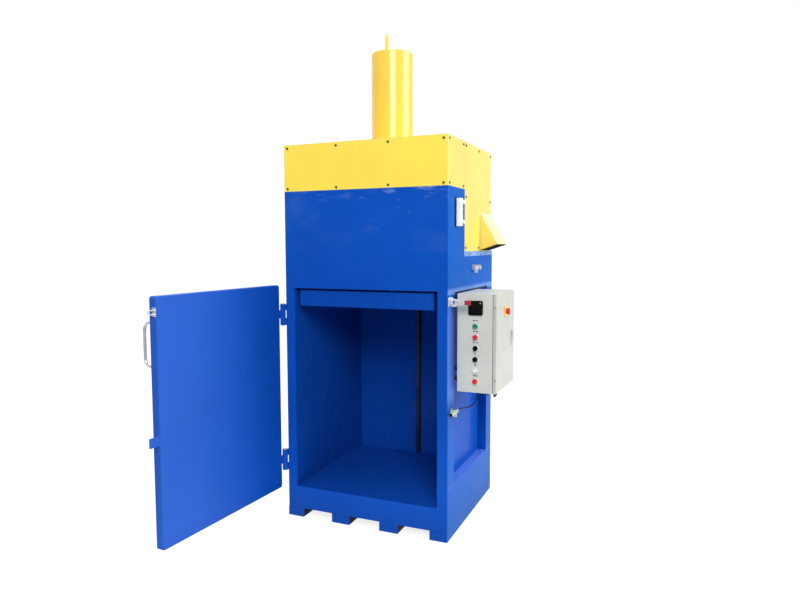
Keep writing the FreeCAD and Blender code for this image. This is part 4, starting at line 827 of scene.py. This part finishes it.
def key_plug():
    """Key plug of the door lock, with its slot."""
    low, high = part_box("box_lock")
    y, z = (low.y + high.y) / 2, high.z - KEY_DROP
    plug = bmesh.new()
    turned(plug, PLUG_PROFILE, facing((high.x, y, z), (1, 0, 0)), 24)
    piece("key_plug", plug, "bright chrome", "box_latch", smooth=True)
    slot = bmesh.new()
    block(slot, (high.x + 0.0005, y - SLOT_HALF_WIDTH, z - SLOT_HALF_HEIGHT),
          (high.x + 0.0008, y + SLOT_HALF_WIDTH, z + SLOT_HALF_HEIGHT))
    piece("key_slot", slot, "black moulding", "box_latch")


class PRESS_OT_sensor_trim(bpy.types.Operator):
    """Adds the door sensor's dark face"""

    bl_idname = "press.sensor_trim"
    bl_label = "Door sensor face"

    def execute(self, context):
        low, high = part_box("door_sensor")
        side_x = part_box("front_frame")[1].x
        place = facing((SENSOR_OUT + side_x, low.y, (low.z + high.z) / 2), (0, -1, 0))
        shape = bmesh.new()
        turned(shape, SENSOR_PROFILE, place, 32)
        piece("sensor_face", shape, "black moulding", "frame", smooth=True)
        return {"FINISHED"}


class PRESS_OT_hood_trim(bpy.types.Operator):
    """Lays a black sheet in the vent hood's mouth, as painted shade for its dark inside"""

    bl_idname = "press.hood_trim"
    bl_label = "Hood shade sheet"

    def execute(self, context):
        low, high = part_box("vent_hood")
        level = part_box("crosshead")[1].z + HOOD_ROOT - MAT_SINK
        slope = (HOOD_TIP - HOOD_ROOT) / (high.x - low.x)
        shape = bmesh.new()
        verts = block(shape, (low.x + SKIN, low.y + MAT_GAP, 0.0),
                      (high.x - MAT_GAP, high.y - MAT_GAP, MAT_THICKNESS))
        for v in verts:
            v.co.z += level + slope * (v.co.x - low.x)
        # black sheet in the hood's mouth: painted shade
        piece("hood_shade_sheet", shape, "hood shade mat", "frame")
        return {"FINISHED"}


class PRESS_OT_gauge_trim(bpy.types.Operator):
    """Adds the level gauge's scale and its gasket"""

    bl_idname = "press.gauge_trim"
    bl_label = "Level gauge trim"

    def execute(self, context):
        gauge_marks()
        gauge_gasket(context.scene.press_trim.seal * GASKET_RIM)
        return {"FINISHED"}


def gauge_marks():
    """Scale lines on the gauge's window, every fourth one long."""
    low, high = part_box("gauge_window")
    x = high.x + 2 * CLEAR
    edge = high.y - 0.001
    half = 0.0004
    shape = bmesh.new()
    for k in range(GAUGE_MARKS):
        z = low.z + 0.006 + (high.z - low.z - 0.012) * k / (GAUGE_MARKS - 1)
        length = GAUGE_SHORT_MARK if k % 4 else GAUGE_LONG_MARK
        block(shape, (x - half, edge - length, z - half), (x, edge, z + half))
    piece("gauge_marks", shape, "black moulding", "frame")


def gauge_gasket(rim):
    """Black gasket around the gauge's foot."""
    low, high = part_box("level_gauge")
    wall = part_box("front_frame")[1].x
    shape = bmesh.new()
    rim_of(shape, Vector((wall + CLEAR, low.y - rim, low.z - rim)),
           Vector((wall + GASKET_THICKNESS, high.y + rim, high.z + rim)), rim)
    piece("gauge_gasket", shape, "cable sheath", "frame")


# ---------------------------------------------------------------- stage
class PRESS_OT_stage(bpy.types.Operator):
    """Sets the floor, the sky, the lights and the camera"""

    bl_idname = "press.stage"
    bl_label = "Stage"

    def execute(self, context):
        s = context.scene.press_stage
        pale_floor()
        studio_sky()
        lamp("key", (4.5, 1.3, 3.0), (0.2, 0.0, 1.1), 2.8, s.key * 1.16)
        lamp("front", (2.2, -4.6, 3.7), (0.0, 0.0, 1.1), 2.4, s.key * 1.46)
        lamp("top", (-0.6, -1.6, 5.2), (0.0, 0.0, 1.2), 3.0, s.key * 0.4)
        photo_camera(s)
        context.scene.view_settings.view_transform = "Standard"
        return {"FINISHED"}


def pale_floor():
    """Floor that glows white behind the press, so that it ends in the white of the sky."""
    shape = bmesh.new()
    bmesh.ops.create_grid(shape, x_segments=8, y_segments=8, size=FLOOR_HALF)
    mesh = bpy.data.meshes.new("studio_floor")
    shape.to_mesh(mesh)
    shape.free()
    ground = bpy.data.objects.new("studio_floor", mesh)
    bpy.context.scene.collection.objects.link(ground)
    ground.location.z = -FLOOR_DROP
    f = Finish("pale floor")
    ahead = f.y * CAMERA_AHEAD[1] + f.x * CAMERA_AHEAD[0]
    behind = f.ramp(ahead, -1.7, -1.06)
    f.feed("Base Color", f.blend(behind, (0.22, 0.23, 0.25), (0.36, 0.36, 0.36)))
    f.feed("Emission Color", f.blend(behind, (0.0, 0.0, 0.0), (0.82, 0.82, 0.82)))
    f.done(roughness=0.8, specular_ior_level=0.1, emission_strength=1.0)
    mesh.materials.append(f.material)


def studio_sky():
    """White wall behind the press, with a dim part to its right and a dim room on the camera's side."""
    world = bpy.data.worlds.new("studio")
    bpy.context.scene.world = world
    world.use_nodes = True
    sky = Patterns(world.node_tree, "Generated")
    behind = sky.ramp(sky.y, -0.40, 0.45)
    right = sky.ramp(sky.x, 0.15, 0.32) * behind
    level = (0.22 + behind * 0.86) * (1 - right * 0.72)
    backdrop = world.node_tree.nodes["Background"]
    backdrop.inputs[0].default_value = SKY_WHITE
    world.node_tree.links.new(level.socket, backdrop.inputs[1])


def photo_camera(settings):
    """Camera that sees the press as the photo does."""
    camera = bpy.data.cameras.new("photo camera")
    camera.lens = settings.lens
    camera.sensor_width = 36.0
    camera.sensor_fit = "HORIZONTAL"
    camera.shift_x, camera.shift_y = CAMERA_SHIFT
    camera.clip_end = 60
    view = bpy.data.objects.new("photo camera", camera)
    bpy.context.scene.collection.objects.link(view)
    turn = (Matrix.Rotation(settings.turn, 4, "Z") @ Matrix.Rotation(math.pi / 2 - settings.dip, 4, "X")
            @ Matrix.Rotation(settings.roll, 4, "Z"))
    view.matrix_world = Matrix.Translation(Vector(settings.place)) @ turn
    bpy.context.scene.camera = view


def lamp(name, place, aim, size, power):
    """One soft area light."""
    light = bpy.data.lights.new(name, "AREA")
    light.shape = "SQUARE"
    light.size = size
    light.energy = power
    obj = bpy.data.objects.new(name, light)
    bpy.context.scene.collection.objects.link(obj)
    obj.location = place
    obj.rotation_euler = (Vector(aim) - Vector(place)).to_track_quat("-Z", "Y").to_euler()


class PRESS_PT_panel(bpy.types.Panel):
    """Lists the steps and their settings"""

    bl_label = "Drum press"
    bl_idname = "PRESS_PT_panel"
    bl_space_type = "VIEW_3D"
    bl_region_type = "UI"
    bl_category = "Drum press"

    def draw(self, context):
        for step in STEPS:
            self.layout.operator(step.bl_idname)
        for group in ("press_finish", "press_trim", "press_stage"):
            settings = getattr(context.scene, group)
            column = self.layout.column()
            for name in settings.bl_rna.properties.keys():
                if name not in ("rna_type", "name"):
                    column.prop(settings, name)


STEPS = (PRESS_OT_finishes, PRESS_OT_weld_beads, PRESS_OT_box_trim, PRESS_OT_sensor_trim,
         PRESS_OT_hood_trim, PRESS_OT_gauge_trim, PRESS_OT_stage)
GROUPS = {"press_finish": PressFinish, "press_trim": PressTrim, "press_stage": PressStage}
CLASSES = (*GROUPS.values(), *STEPS, PRESS_PT_panel)


def register():
    for cls in CLASSES:
        bpy.utils.register_class(cls)
    for name, group in GROUPS.items():
        setattr(bpy.types.Scene, name, PointerProperty(type=group))


def unregister():
    for name in GROUPS:
        delattr(bpy.types.Scene, name)
    for cls in reversed(CLASSES):
        bpy.utils.unregister_class(cls)


def main():
    """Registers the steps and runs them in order."""
    register()
    bpy.ops.press.finishes()
    bpy.ops.press.weld_beads()
    bpy.ops.press.box_trim()
    bpy.ops.press.sensor_trim()
    bpy.ops.press.hood_trim()
    bpy.ops.press.gauge_trim()
    bpy.ops.press.stage()


if __name__ == "__main__":
    main()
